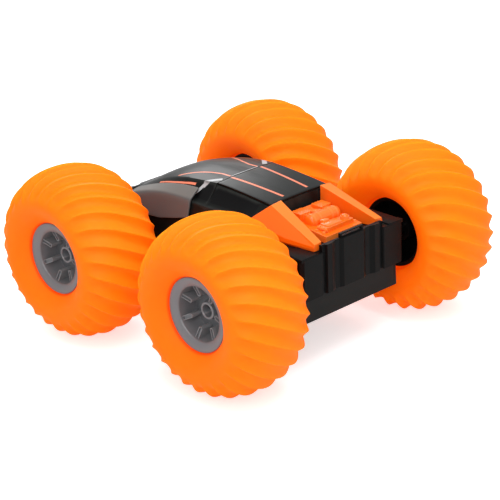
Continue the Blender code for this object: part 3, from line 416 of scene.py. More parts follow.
brass = mix_finish(
    "brass", linear(198, 160, 82), linear(180, 142, 70), linear(228, 200, 130), 0.26, 0.4, 700.0, 0.1, metallic=1.0
)
motor_steel = mix_finish(
    "motor_steel", linear(170, 172, 176), linear(150, 152, 156), linear(205, 206, 208), 0.3, 0.46, 300.0, 0.14,
    metallic=1.0,
)
battery_wrap = mix_finish(
    "battery_wrap", linear(28, 82, 148), linear(34, 92, 160), linear(90, 130, 180), 0.3, 0.42, 500.0, 0.12
)
board_green = mix_finish(
    "board_green", linear(24, 92, 56), linear(18, 80, 48), linear(120, 140, 90), 0.35, 0.48, 1500.0, 0.14
)
print("finishes", len(bpy.data.materials))

# %% [markdown]
# The fenders and fins carry painted light: their flat tops are painted a paler band, as light falling
# from above, and the steep sides keep the darker colour. A mask on how far the surface faces up gives
# the band. Both use one helper, each with its own limits and colour.

# %% Mix the finishes with painted light on top
def paint_light_on_top(start, full, colour):
    """Paints the colour on what faces up, as painted light from above. start and full are heights of the unit
    normal.
    """
    def printed(tree, base):
        shape = add_node(tree, "ShaderNodeNewGeometry")
        parts = add_node(tree, "ShaderNodeSeparateXYZ", [("Vector", shape.outputs["Normal"])])
        top = add_node(
            tree, "ShaderNodeMapRange", [("Value", parts.outputs["Z"])],
            values={"From Min": start, "From Max": full},
        )
        return mix_colours(tree, top.outputs[0], base, colour)
    return printed


# The fins' tops are painted a paler orange: painted light where the surface faces up.
fin_orange = mix_finish(
    "fin_orange", linear(250, 98, 2), linear(252, 104, 5), linear(255, 160, 80), 0.3, 0.4, 1200.0, 0.06,
    print_on=paint_light_on_top(0.7, 0.85, linear(254, 124, 36)), specular_ior_level=0.3,
)
# The fenders' tops are painted a paler grey: painted light where the surface faces up.
fender_grey = mix_finish(
    "fender_grey", linear(84, 88, 88), linear(90, 94, 94), linear(136, 140, 140), 0.36, 0.48, 1500.0, 0.14,
    print_on=paint_light_on_top(0.55, 0.8, linear(112, 110, 106)), metallic=0.15,
)
# Both finishes carry painted light on their tops.
print("two-tone finishes", fin_orange.name, fender_grey.name)

# %% [markdown]
# The tyres are soft vinyl, blown like a ball. Light enters the skin and comes out redder, which is
# why the shaded side glows deep orange instead of going dull. Subsurface scattering with a long red
# radius does most of this, and a weak red-orange emission, a painted glow, adds the rest. That is a
# shortcut: there is no lamp in the real tyre. The tread is painted paler, as painted light on the
# tyre's outer skin, and a ring at the bead is painted darker, as painted shade where the skin meets the hub.

# %% Mix the balloon vinyl
# The painted shade ring at the bead and the painted light on the tread fade between these radii.
BEAD_START, BEAD_END = 25.9 * MM, 26.9 * MM          # the dark ring fades out between these radii
TREAD_START, TREAD_END = 36.0 * MM, 60.0 * MM        # the paler tread fades in between these


def print_tyre(tree, base):
    place = add_node(tree, "ShaderNodeTexCoord")
    parts = add_node(tree, "ShaderNodeSeparateXYZ", [("Vector", place.outputs["Object"])])
    side = add_node(tree, "ShaderNodeMath", [(0, parts.outputs["Y"])], operation="ABSOLUTE")
    across = add_node(tree, "ShaderNodeMath", [(0, side.outputs[0])], operation="SUBTRACT", values={1: WHEEL_Y})
    rise = add_node(
        tree, "ShaderNodeMath", [(0, parts.outputs["Z"])], operation="SUBTRACT", values={1: AXLE_HEIGHT}
    )
    spoke = add_node(tree, "ShaderNodeCombineXYZ", [("X", across.outputs[0]), ("Y", rise.outputs[0])])
    radius = add_node(tree, "ShaderNodeVectorMath", [(0, spoke.outputs[0])], operation="LENGTH")
    bead_shade = add_node(
        tree, "ShaderNodeMapRange", [("Value", radius.outputs["Value"])],
        values={"From Min": BEAD_END, "From Max": BEAD_START},
    )
    tread = add_node(
        tree, "ShaderNodeMapRange", [("Value", radius.outputs["Value"])],
        values={"From Min": TREAD_START, "From Max": TREAD_END},
    )
    # Painted light: the tread paler. Painted shade: the ring at the bead darker, where the skin meets the hub.
    tread_lit = mix_colours(tree, tread.outputs[0], base, linear(255, 130, 12))
    return mix_colours(tree, bead_shade.outputs[0], tread_lit, linear(226, 66, 8))


soft_tyre = mix_finish(
    "soft_tyre", linear(255, 112, 5), linear(255, 118, 7), linear(255, 138, 20), 0.55, 0.66, 800.0, 0.06,
    drift=18.0, sharpness=0.6, print_on=print_tyre, subsurface_weight=0.5, subsurface_scale=0.02,
    subsurface_radius=(1.0, 0.34, 0.05), specular_ior_level=0.12,
    emission_color=(1.0, 0.1, 0.0, 1.0), emission_strength=0.3,
)
print("vinyl ready")

# %% [markdown]
# New pieces all finish the same way: doubles merged, faces turned outwards, smooth shading with the
# real corners kept sharp, and a body to ride on. A wheel's pieces are modelled once around their own
# axis, lying flat with the outer face up, and each copy is turned and carried to its axle in the mesh.

# %% Helpers for new pieces
def finish_piece(name, shape, finish, body, slot, *nodes, corner=35.0):
    bmesh.ops.remove_doubles(shape, verts=shape.verts, dist=0.004 * MM)
    bmesh.ops.recalc_face_normals(shape, faces=shape.faces)
    mesh = bpy.data.meshes.new(name)
    shape.to_mesh(mesh)
    shape.free()
    for face in mesh.polygons:
        face.use_smooth = True
    mesh.set_sharp_from_angle(angle=math.radians(corner))
    mesh.materials.append(finish)
    piece = bpy.data.objects.new(name, mesh)
    bpy.context.scene.collection.objects.link(piece)
    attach(piece, body)
    if nodes:
        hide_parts(*nodes)
    return piece


def to_axle(shape, side, end):
    """Carries a wheel piece from its own axis to an axle, outer face outwards."""
    turn = Matrix.Rotation(side * math.pi / 2, 4, "Y")
    carry = Matrix.Translation((side * WHEEL_X, end * WHEEL_Y, AXLE_HEIGHT))
    bmesh.ops.transform(shape, matrix=carry @ turn, verts=shape.verts)


def spun(profile, steps):
    """A closed ring from a section in millimetres: (radius, height) points, spun about the Z axis."""
    shape = bmesh.new()
    corners = [shape.verts.new((radius * MM, 0.0, height * MM)) for radius, height in profile]
    edges = [shape.edges.new((corners[i], corners[(i + 1) % len(corners)])) for i in range(len(corners))]
    bmesh.ops.spin(
        shape, geom=corners + edges, cent=(0, 0, 0), axis=(0, 0, 1), angle=2 * math.pi, steps=steps, use_merge=True
    )
    return shape


print("wheel pieces go out to x", round(WHEEL_X / MM, 1), "mm")

# %% [markdown]
# A balloon tyre is a doughnut with soft, pointed crests all round the tread. Its section is spun
# first. Then each point of the outer skin sinks towards the section's heart by a scallop: deepest
# half way between two crests, nothing at a crest, and fading out down the side walls. The crests lean
# a little, so the scallops run slantwise over the tread like the edge of a shell.

# %% Shape one balloon tyre
RIDGE_COUNT, RIDGE_STEPS = 28, 12
RIDGE_DEPTH, RIDGE_SLANT, RIDGE_LEAN = 3.1 * MM, math.radians(16), 1.3
HEART_RADIUS = 39.0                # where the side walls are widest, in millimetres
FULLNESS = 0.93                    # 1 gives an oval section, and less gives broader shoulders
HUB_EDGE = 25.5
FADE_START, FADE_WIDTH = 0.12, 0.42      # shares of the section's height over which the ridges grow


def tyre_section():
    radius, half = TYRE_RADIUS / MM, TYRE_HALF / MM
    lip = [(HUB_EDGE, 21.6), (25.6, 22.9), (26.3, 24.0), (27.8, 25.9), (30.0, 28.2), (32.6, 30.2), (35.6, 31.6)]
    crown = []
    for degrees in (0, 3, 7, 12, *range(18, 163, 6), 168, 173, 177, 180):
        angle = math.radians(degrees)
        height = half * abs(math.cos(angle)) ** FULLNESS * (1 if degrees <= 90 else -1)
        crown.append((HEART_RADIUS + (radius - HEART_RADIUS) * math.sin(angle) ** FULLNESS, height))
    inner_lip = [(r, -h) for r, h in reversed(lip[2:])] + [(HUB_EDGE, -21.6), (HUB_EDGE, -19.4)]
    inside = [(24.2, -17.6), (28.0, -23.4), (34.0, -28.6), (50.0, -18.0), (55.4, 0.0),
              (50.0, 18.0), (34.0, 28.6), (28.0, 23.4), (24.2, 19.6)]
    return lip + crown + inner_lip + inside


def scallop(shape):
    heart = HEART_RADIUS * MM
    for point in shape.verts:
        radius, angle = math.hypot(point.co.x, point.co.y), math.atan2(point.co.y, point.co.x)
        away = Vector((radius - heart, point.co.z))
        section = Vector(((radius - heart) / (TYRE_RADIUS - heart), point.co.z / TYRE_HALF))
        fade = max(0.0, min(1.0, (section.x - FADE_START) / FADE_WIDTH))
        fade = fade * fade * (3 - 2 * fade) if section.length > 0.9 else 0.0
        turn = angle * RIDGE_COUNT / (2 * math.pi)
        sink = RIDGE_DEPTH * fade * abs(math.sin(math.pi * (turn % 1.0) ** RIDGE_LEAN))
        away.length = max(0.0, away.length - sink)
        angle += RIDGE_SLANT * point.co.z / TYRE_HALF
        radius = heart + away.x
        point.co = (radius * math.cos(angle), radius * math.sin(angle), away.y)


for place, side, end in PLACES:
    tyre = spun(tyre_section(), RIDGE_COUNT * RIDGE_STEPS)
    scallop(tyre)
    to_axle(tyre, side, end)
    name, wheel = f"{place}_balloon_tyre", f"{place}_wheel"
    finish_piece(name, tyre, soft_tyre, wheel, "soft_tyre", f"{place}_tyre", corner=60.0)
print("tyres", len(PLACES), "with", RIDGE_COUNT, "ridges")

# %% [markdown]
# The hub is one grey moulding: a dished ring that traps the tyre, a deep cup with sloping walls, and a
# round boss in the middle for the wheel screw. Seven hairpin ribs reach in from the wall. Each rib is
# a circle stretched into a slot shape, pulled up, and hollowed along its top by an inset.

# %% Shape the hub cup
HUB_FACE = 23.2
RIB_COUNT = 7


def hub_section():
    return [
        (24.3, HUB_FACE), (24.9, 23.0), (25.2, 22.5), (24.9, 21.8), (22.6, 21.0), (22.6, 0.8), (2.7, 0.8),
        (2.7, 7.5),
        (4.2, 7.5), (4.2, 13.3), (4.45, 13.7), (5.5, 13.7), (5.9, 13.4), (6.0, 12.9), (6.4, 10.4), (6.9, 9.6),
        (7.8, 9.2), (12.0, 8.2), (16.0, 7.2), (17.0, 7.4), (17.4, 8.2), (18.0, 15.0), (18.45, 20.3), (18.7, 21.0),
        (19.2, 21.5), (20.6, 22.2), (22.6, 22.9),
    ]


def rib_mesh():
    """One rib along +X: a slot-shaped block with a hollow top, its outer end buried in the cup's wall."""
    half, inner, outer, low, high = 1.55 * MM, 10.9 * MM, 18.1 * MM, 6.6 * MM, 17.6 * MM
    shape = bmesh.new()
    bmesh.ops.create_circle(shape, cap_ends=True, segments=24, radius=half)
    for point in shape.verts:
        point.co.x += inner + half if point.co.x < 0.02 * MM else outer
        point.co.z = low
    grown = bmesh.ops.extrude_face_region(shape, geom=list(shape.faces))["geom"]
    for item in grown:
        if isinstance(item, bmesh.types.BMVert):
            item.co.z = high + (2.2 * MM if item.co.x > 15.0 * MM else 0.0)
    lid = [item for item in grown if isinstance(item, bmesh.types.BMFace)]
    bmesh.ops.inset_region(shape, faces=lid, thickness=0.5 * MM)
    bmesh.ops.inset_region(shape, faces=lid, thickness=0.1 * MM, depth=-1.3 * MM)
    mesh = bpy.data.meshes.new("rib")
    shape.to_mesh(mesh)
    shape.free()
    return mesh


def add_ribs(shape):
    rib = rib_mesh()
    for index in range(RIB_COUNT):
        first = len(shape.verts)
        shape.from_mesh(rib)
        shape.verts.ensure_lookup_table()
        turn = Matrix.Rotation(math.pi / 2 + 2 * math.pi * index / RIB_COUNT, 4, "Z")
        bmesh.ops.transform(shape, matrix=turn, verts=shape.verts[first:])
    bpy.data.meshes.remove(rib)


for place, side, end in PLACES:
    hub = spun(hub_section(), RIB_COUNT * 12)
    add_ribs(hub)
    to_axle(hub, side, end)
    finish_piece(f"{place}_hub", hub, hub_grey, f"{place}_wheel", "hub_grey", f"{place}_outer_rim", corner=30.0)
print("hubs with", RIB_COUNT, "ribs")

# %% [markdown]
# Behind the hub sits its black other half, dished like a deep pan towards the body. It is plain, but
# it faces the light on the far wheels, so its lip and the root of its boss get soft roundings.

# %% Shape the inner rim and the axle sleeve
def pan_section():
    return [
        (22.6, 0.4), (22.6, -18.2), (24.5, -19.0), (24.9, -19.5), (24.7, -20.1), (24.2, -20.3), (22.9, -20.0),
        (22.2, -19.3), (21.6, -15.0), (20.9, -4.4), (20.4, -3.0), (19.2, -2.4), (10.6, -2.4), (9.7, -2.9),
        (9.2, -4.0), (8.2, -11.2), (7.9, -11.7), (7.4, -11.8), (3.0, -11.8), (2.7, -11.5), (2.7, 0.4),
    ]


def sleeve_section():
    inner = -(WHEEL_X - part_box("rear_left_axle_sleeve")[0][0]) / MM
    outer = -(WHEEL_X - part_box("rear_left_axle_sleeve")[1][0]) / MM
    flange = -(WHEEL_X - BODY_HALF) / MM + 2.8
    return [
        (2.75, outer), (4.7, outer), (5.1, outer - 0.4), (6.1, flange + 3.6), (6.9, flange + 2.2),
        (8.0, flange + 1.5), (8.15, flange + 1.2), (8.15, flange + 0.1), (4.5, flange + 0.1), (4.5, inner),
        (2.75, inner),
    ]


for place, side, end in PLACES:
    pan = spun(pan_section(), 84)
    to_axle(pan, side, end)
    name, wheel = f"{place}_rim_pan", f"{place}_wheel"
    finish_piece(name, pan, body_black, wheel, "body_black", f"{place}_inner_rim", corner=32.0)
    sleeve = spun(sleeve_section(), 48)
    to_axle(sleeve, side, end)
    node = f"{place}_axle_sleeve"
    finish_piece(f"{place}_sleeve", sleeve, body_black, "chassis", "body_black", node, corner=32.0)
print("inner rims and sleeves done")

# %% [markdown]
# The upper shell is one thin moulding from nose to tail. Its cross-sections change from a rounded nose
# to a flat-topped cabin and then drop to the engine deck. A grid is laid over it: each row of the grid
# takes one cross-section, and a doubled row makes a step. Between the measured sections the heights
# follow a smooth curve, so the hood swells instead of showing flats.

# %% Describe the body's sections
HOOD = [
    # share of the hood's length, centre height, roof edge x and height, shoulder height, waist height
    (0.0, 48.0, 27.0, 47.2, 33.5, 16.0), (0.25, 47.2, 27.0, 45.0, 33.5, 16.0),
    (0.42, 44.8, 26.0, 41.6, 32.6, 15.5), (0.58, 40.2, 25.0, 36.8, 29.9, 15.0),
    (0.72, 33.9, 24.5, 31.2, 26.0, 14.0), (0.86, 26.2, 24.5, 24.6, 21.0, 12.0),
    (1.0, 17.5, 25.0, 17.0, 15.0, 9.0),
]
ROOF_LENGTH, ROOF_DROP, DECK = roof_high.y / MM, 1.5, 24.0
BODY_WIDE = BODY_HALF / MM
SHOULDER_X, WAIST_X = 39.0, 44.4         # where the side folds lie, in millimetres from the middle
CROWN = 2.4                              # the power of the crown's curve: a higher one is flatter
ARCH_RADIUS = 5.6                        # the notch over each axle
SILL = (SPLIT_Z - AXLE_HEIGHT) / MM + 0.3


def hood_row(share):
    """The hood's heights at a share of its length, on a smooth curve through the table above."""
    last = len(HOOD) - 2
    index = max(i for i in range(last + 1) if HOOD[i][0] <= share + 1e-9)
    rows = [HOOD[max(0, index - 1)], HOOD[index], HOOD[index + 1], HOOD[min(last + 1, index + 2)]]
    t = (share - rows[1][0]) / (rows[2][0] - rows[1][0])
    found = []
    for column in range(1, 6):
        a, b, c, d = (row[column] for row in rows)
        before = (c - a) / max(1e-6, rows[2][0] - rows[0][0]) * (rows[2][0] - rows[1][0])
        after = (d - b) / max(1e-6, rows[3][0] - rows[1][0]) * (rows[2][0] - rows[1][0])
        cubic = (2 * t**3 - 3 * t**2 + 1) * b + (t**3 - 2 * t**2 + t) * before
        found.append(cubic + (3 * t**2 - 2 * t**3) * c + (t**3 - t**2) * after)
    return found


def body_row(y):
    """Centre height, roof edge, shoulder height and waist height at y, in millimetres."""
    if y > 0:
        centre = 48.0 - 3.5 * min(1.0, y / ROOF_LENGTH) ** 1.6
        return centre, 27.0, centre - 0.8, 33.5, 16.0
    return hood_row(min(1.0, -y / (SHELL_END / MM)))


def ease(value, start, end):
    share = max(0.0, min(1.0, (value - start) / (end - start)))
    return share * share * (3 - 2 * share)


def skin_point(across, y, drop=0.0, deck=False):
    """A point of the body's skin: across runs from 0 at the middle to 1 at the sill."""
    centre, edge_x, edge_z, shoulder, waist = body_row(y)
    if deck:
        lean = (waist - shoulder) / (WAIST_X - SHOULDER_X)
        corner = SHOULDER_X + (DECK - shoulder) / lean
        line = [(0.0, DECK), (corner * 0.6, DECK), (corner, DECK), (WAIST_X, waist), (BODY_WIDE, SILL)]
    else:
        line = [
            (0.0, centre - drop), (edge_x, edge_z - drop), (SHOULDER_X, shoulder), (WAIST_X, waist),
            (BODY_WIDE, SILL),
        ]
        line.insert(1, (edge_x * 0.6, centre - drop - (centre - edge_z) * 0.3))
    stops = (0.0, 0.2, 0.36, 0.6, 0.84, 1.0)
    if deck:
        stops = (0.0, 0.2, 0.48, 0.84, 1.0)
    index = max(i for i in range(len(stops) - 1) if stops[i] <= across + 1e-9)
    t = (across - stops[index]) / (stops[index + 1] - stops[index])
    (x0, z0), (x1, z1) = line[index], line[index + 1]
    x, z = x0 + (x1 - x0) * t, z0 + (z1 - z0) * t
    if not deck and index == 2:        # the side window, hollowed a little between roof edge and shoulder
        hollow = 0.9 * math.sin(math.pi * t) ** 0.6 * ease(y, -30.0, -14.0) * ease(y, 44.0, 30.0)
        x, z = x - hollow * 0.75, z - hollow * 0.66
    if not deck and index in (0, 1):   # the crown over the roof and hood
        z = centre - drop - (centre - edge_z) * (x / edge_x) ** CROWN
    reach = ARCH_RADIUS**2 - (abs(y) - WHEEL_Y / MM) ** 2
    if reach > 0 and index == len(line) - 2:
        z = max(z, math.sqrt(reach))
    return x, z


print("skin height over the ridge", round(AXLE_HEIGHT / MM + skin_point(0.0, 0.0)[1], 1), "mm")

# %% [markdown]
# The grid's lines crowd together where the surface folds and over the axle notches, and lie wide
# apart on the flats. The shell is a skin at first; a Solidify modifier gives it its wall.

# %% Lay the grid over the body
ACROSS_STOPS = [
    0.0, 0.07, 0.14, 0.2, 0.25, 0.3, 0.34, 0.36, 0.38, 0.42, 0.46, 0.5, 0.54, 0.58, 0.6, 0.63, 0.68, 0.72,
    0.76, 0.8, 0.84, 0.87, 0.92, 0.97, 1.0,
]
ARCH_STEPS = (-5.7, -5.2, -4.2, -2.5, 0, 2.5, 4.2, 5.2, 5.7)
arches = [end * (WHEEL_Y / MM + step) for end in (1, -1) for step in ARCH_STEPS]


def spread(start, end, count, extra=()):
    steps = {round(start + (end - start) * i / count, 3) for i in range(count + 1)}
    low, high = sorted((start, end))
    steps |= {round(value, 3) for value in extra if low < value < high}
    return sorted(steps, reverse=end < start)


def body_rows():
    """(y, drop, deck, foot) for each row, from tail to nose."""
    tail = SHELL_END / MM
    rows = [(tail, 0.0, True, True)]
    rows += [(y, 0.0, True, False) for y in spread(tail, ROOF_LENGTH + 0.8, 14, arches)]
    rows += [(y, ROOF_DROP, False, False) for y in spread(ROOF_LENGTH, 0.05, 18)]
    rows += [(y, 0.0, False, False) for y in spread(0.0, -tail, 40, arches)]
    return rows + [(-tail, 0.0, False, True)]


def grid_over(rows, columns, point):
    """A grid whose corners are carried by point(column, row) to where they belong."""
    shape = bmesh.new()
    bmesh.ops.create_grid(shape, x_segments=len(columns) - 1, y_segments=len(rows) - 1, size=0.5)
    for corner in shape.verts:
        column = round((corner.co.x + 0.5) * (len(columns) - 1))
        row = round((corner.co.y + 0.5) * (len(rows) - 1))
        corner.co = point(columns[column], rows[row])
    return shape


def shell_point(column, row):
    y, drop, deck, foot = row
    x, z = skin_point(abs(column), y, drop, deck)
    if foot:
        z = SILL
    return Vector((math.copysign(x, column) * MM, y * MM, AXLE_HEIGHT + z * MM))


def add_wall(piece, thickness, rounding):
    """Gives an open skin its wall, inwards, and rounds the corners of both sides."""
    wall = piece.modifiers.new("wall", "SOLIDIFY")
    wall.thickness, wall.offset, wall.use_even_offset = thickness, -1.0, True
    bevel = piece.modifiers.new("round_off", "BEVEL")
    bevel.width, bevel.segments, bevel.limit_method = rounding, 3, "ANGLE"
    bevel.angle_limit = math.radians(32)


both_sides = [-value for value in reversed(ACROSS_STOPS[1:])] + ACROSS_STOPS
skin = grid_over(body_rows(), both_sides, shell_point)
print("body grid", len(both_sides), "by", len(body_rows()))

# %% [markdown]
# All of the shell's markings are drawn with the same band: salmon stripes over the hood and roof,
# near-black glass for the side windows and windscreen, pale slivers at the pillars, and a painted
# highlight along the ridge where the roof meets the hood. A curved stripe is a chain of straight
# lengths in plan, short enough to read as a curve.

# %% Print the stripes and paint the ridge highlight
# The pale colour serves the printed pillar slivers and the painted highlight along the ridge.
SALMON, SILVER_AND_HIGHLIGHT, GLASS = linear(236, 134, 104), linear(176, 178, 180), linear(7, 7, 8)


def mirrored(lines):
    """The lines and their mirror images on the car's right side."""
    return lines + [(-x0, y0, -x1, y1, half, colour) for x0, y0, x1, y1, half, colour in lines]


def chain(points, half, colour):
    """Short straight lengths through the points, each reaching a hair into the next."""
    hair = 0.15
    return [
        (*a, b[0], b[1] + math.copysign(hair, b[1] - a[1]), half, colour) for a, b in zip(points, points[1:])
    ]


ROOF_STRIPES = mirrored([(14.0, 0.6, 11.4, 47.5, 1.0, SALMON)])
SIDE_WINDOW = mirrored([(31.8, -13.0, 31.8, 42.0, 3.9, GLASS)])
WINDSCREEN = [(-24.0, -5.2, 24.0, -5.2, 4.4, GLASS)]
PILLAR_SLIVERS = mirrored([(20.2, -1.6, 28.9, -11.0, 1.7, SILVER_AND_HIGHLIGHT), (28.6, -10.6, 37.0, -18.6, 1.1, SILVER_AND_HIGHLIGHT)])
HOOD_STRIPES = mirrored(
    chain([(12.8, -1.4), (12.6, -9.0), (14.6, -17.9), (17.6, -26.3), (20.9, -34.5), (23.9, -42.0)], 0.75, SALMON)
    + chain([(29.3, -18.6), (30.1, -28.8), (29.8, -40.9), (28.7, -56.3)], 0.6, SALMON)
)
# A painted highlight: a thin pale line along the ridge, where light catches the seam.
RIDGE_HIGHLIGHT = [(-13.0, -0.75, 13.0, -0.75, 0.35, SILVER_AND_HIGHLIGHT)]
SHELL_PRINT_AND_HIGHLIGHT = SIDE_WINDOW + WINDSCREEN + PILLAR_SLIVERS + HOOD_STRIPES + RIDGE_HIGHLIGHT


def print_lines_and_highlight(lines):
    def printed(tree, base):
        for x0, y0, x1, y1, half, colour in lines:
            mask = place_group(
                tree, STRIPE, start=(x0 * MM, y0 * MM, 0.0), end=(x1 * MM, y1 * MM, 0.0), half_width=half * MM
            ).outputs["Mask"]
            base = mix_colours(tree, mask, base, colour)
        return base
    return printed


def black_with(name, lines, gloss):
    return mix_finish(
        name, linear(13, 16, 15), linear(18, 21, 20), linear(46, 50, 48), gloss, gloss + 0.12, 1400.0, 0.1,
        print_on=print_lines_and_highlight(lines), specular_ior_level=0.12,
    )


roof_black = black_with("roof_black", ROOF_STRIPES, 0.3)
hood_black = black_with("hood_black", SHELL_PRINT_AND_HIGHLIGHT, 0.3)
shell = finish_piece("body_shell", skin, hood_black, "chassis", "body_black", "upper_shell", corner=30.0)
add_wall(shell, 1.8 * MM, 0.5 * MM)
print("printed lengths", len(ROOF_STRIPES) + len(SHELL_PRINT_AND_HIGHLIGHT))

# %% [markdown]
# The roof panel is a separate plate that clips into the shell behind the ridge. It repeats the shell's
# crown, so it is the same grid idea with the drop left out.

# %% Lay the roof panel
def roof_point(column, row):
    share = abs(column)
    centre, edge_x, edge_z, _, _ = body_row(row)
    x = share * (edge_x - 0.35)
    z = centre - (centre - edge_z) * (x / edge_x) ** CROWN
    return Vector((math.copysign(x, column) * MM, row * MM, AXLE_HEIGHT + z * MM))


panel = grid_over(spread(0.55, ROOF_LENGTH - 0.05, 24), [i / 14 for i in range(-14, 15)], roof_point)
roof = finish_piece("roof_plate", panel, roof_black, "chassis", "body_black", "roof_panel", corner=30.0)
add_wall(roof, 1.2 * MM, 0.3 * MM)
print("roof plate", round(roof.dimensions.x / MM, 1), "mm wide")

# %% [markdown]
# The grey fenders are cowls that sit over the front shoulders. Each follows the skin of the shell a
# little way out, flat along its top and then steeply down the side, with a soft fold between.

# %% Shape the fenders
FENDER_OFF, FENDER_WALL, FENDER_ROUND = 2.1, 1.4, 0.35
FENDER_TOP_X = 32.6
FENDER_FEET = [(-12.5, 24.0), (-24.0, 21.0), (-40.4, 17.5), (-55.8, 16.5), (-75.0, 15.0)]


def between(table, y):
    for (y0, v0), (y1, v1) in zip(table, table[1:]):
        if y >= y1 - 1e-9:
            return v0 + (v1 - v0) * (y - y0) / (y1 - y0)
    return table[-1][1]


def fender_point(column, row, side):
    _, edge_x, edge_z, shoulder, waist = body_row(row)
    foot = between(FENDER_FEET, row)
    lean = (WAIST_X - SHOULDER_X) / (shoulder - waist)
    fall = (edge_z - shoulder) / (SHOULDER_X - edge_x)
    top = Vector((FENDER_TOP_X, shoulder + fall * (SHOULDER_X - FENDER_TOP_X) + FENDER_OFF))
    fold = Vector((SHOULDER_X + FENDER_OFF, shoulder + FENDER_OFF))
    bottom = Vector((SHOULDER_X + lean * (shoulder - foot) + FENDER_OFF, foot))
    if column < 0.42:
        spot = top.lerp(fold, column / 0.5)
    elif column > 0.62:
        spot = fold.lerp(bottom, (column - 0.5) / 0.5)
    else:
        share = (column - 0.42) / 0.2
        before, after = top.lerp(fold, 0.84), fold.lerp(bottom, 0.24)
        spot = before.lerp(fold, share).lerp(fold.lerp(after, share), share)
    return Vector((side * min(spot.x, BODY_WIDE) * MM, row * MM, AXLE_HEIGHT + spot.y * MM))


for word, side in SIDES:
    cowl = grid_over(
        spread(-12.6, -74.9, 30), [i / 24 for i in range(25)],
        lambda column, row, side=side: fender_point(column, row, side),
    )
    if side < 0:
        bmesh.ops.reverse_faces(cowl, faces=cowl.faces)
    node = f"{word}_front_fender"
    piece = finish_piece(f"{word}_fender", cowl, fender_grey, "chassis", "fender_grey", node, corner=38.0)
    add_wall(piece, FENDER_WALL * MM, FENDER_ROUND * MM)
print("fenders", 2)

# %% [markdown]
# The engine is a single orange moulding that suggests a motor: two finned heads in front, a barrel
# across the middle with a domed cap, looping pipes between them, and a block with an oil cap behind.
# Its base keeps the CAD shape. The details are small turned and bent shapes set into it.

# %% Dress the engine
engine_low, engine_high = (Vector(corner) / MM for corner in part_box("engine_cover"))
ENGINE_FRONT, ENGINE_LONG = engine_low.y, engine_high.y - engine_low.y
BARREL_Y, BARREL_Z = ENGINE_FRONT + 0.42 * ENGINE_LONG, engine_low.z + 7.6
BAND_RADIUS = 5.35


def add_rod(shape, start, end, radius, end_radius=None, segments=20):
    """A capped round bar between two points, in millimetres."""
    start, end = Vector(start) * MM, Vector(end) * MM
    way = end - start
    turn = way.to_track_quat("Z", "Y").to_matrix().to_4x4()
    bmesh.ops.create_cone(
        shape, cap_ends=True, segments=segments, radius1=radius * MM, radius2=(end_radius or radius) * MM,
        depth=way.length, matrix=Matrix.Translation((start + end) / 2) @ turn,
    )


def add_dome(shape, middle, radius, squash):
    made = bmesh.ops.create_uvsphere(shape, u_segments=20, v_segments=12, radius=radius * MM)["verts"]
    bmesh.ops.scale(shape, vec=squash, verts=made)
    bmesh.ops.translate(shape, vec=Vector(middle) * MM, verts=made)


def add_loop(shape, middle, bend, radius, steps=12):
    """Half a ring of pipe that stands along the car, bent upwards over its middle."""
    start = bmesh.ops.create_circle(shape, segments=12, radius=radius * MM)["verts"]
    edges = list({edge for point in start for edge in point.link_edges})
    bmesh.ops.translate(shape, vec=(0.0, bend * MM, 0.0), verts=start)
    made = bmesh.ops.spin(
        shape, geom=start + edges, cent=(0, 0, 0), axis=(1, 0, 0), angle=math.pi, steps=steps, use_merge=False
    )["geom_last"]
    whole = set(start) | {item for item in made if isinstance(item, bmesh.types.BMVert)}
    reach = list(whole)
    while reach:
        for edge in reach.pop().link_edges:
            for point in edge.verts:
                if point not in whole:
                    whole.add(point)
                    reach.append(point)
    bmesh.ops.translate(shape, vec=Vector(middle) * MM, verts=list(whole))


def add_block(shape, low, high, rounding):
    made = bmesh.ops.create_cube(shape, size=1.0)["verts"]
    low, high = Vector(low) * MM, Vector(high) * MM
    bmesh.ops.scale(shape, vec=high - low, verts=made)
    bmesh.ops.translate(shape, vec=(low + high) / 2, verts=made)
    edges = list({edge for point in made for edge in point.link_edges})
    bmesh.ops.bevel(
        shape, geom=edges, offset=rounding * MM, segments=2, profile=0.5, affect="EDGES", material=-1
    )


engine = bmesh.new()
top = engine_high.z - 0.15
for x in (-11.6, -8.9, -6.2, 6.2, 8.9, 11.6):      # cooling fins on the two heads
    add_block(engine, (x - 0.5, ENGINE_FRONT + 1.2, BARREL_Z - 2.0), (x + 0.5, ENGINE_FRONT + 11.2, top), 0.3)
for x in (-11.0, -6.4, 4.2, 9.6):      # bands round the barrel
    band = [(x + step, BARREL_Y, BARREL_Z - 0.1) for step in (-0.8, 0.8)]
    add_rod(engine, *band, BAND_RADIUS, segments=40)
add_dome(engine, (-12.3, BARREL_Y, BARREL_Z), 5.1, (0.86, 1.0, 1.0))
add_dome(engine, (10.8, BARREL_Y, BARREL_Z), 4.9, (0.5, 1.0, 1.0))
for x in (-9.9, -7.6, 7.4, 10.2):      # pipes from heads to barrel
    add_loop(engine, (x, ENGINE_FRONT + 11.4, BARREL_Z + 0.6), 3.1, 0.95)
for x in (-2.8, -0.9, 1.0):      # a loom of pipes over the middle
    add_rod(engine, (x, ENGINE_FRONT + 0.8, BARREL_Z + 1.5), (x, BARREL_Y - 2.5, BARREL_Z + 3.9), 0.8, segments=12)
rear = BARREL_Y + 8.6
add_block(engine, (-4.0, rear, BARREL_Z - 3.0), (9.8, rear + 7.4, BARREL_Z + 1.3), 0.5)
add_block(engine, (1.6, rear - 2.6, BARREL_Z - 3.0), (7.4, rear + 1.0, BARREL_Z + 2.4), 0.5)
add_rod(engine, (-9.0, rear + 4.6, BARREL_Z - 3.0), (-9.0, rear + 4.6, BARREL_Z + 2.2), 3.3, 3.0, 28)
add_dome(engine, (-9.0, rear + 4.6, BARREL_Z + 2.2), 2.5, (1.0, 1.0, 0.55))
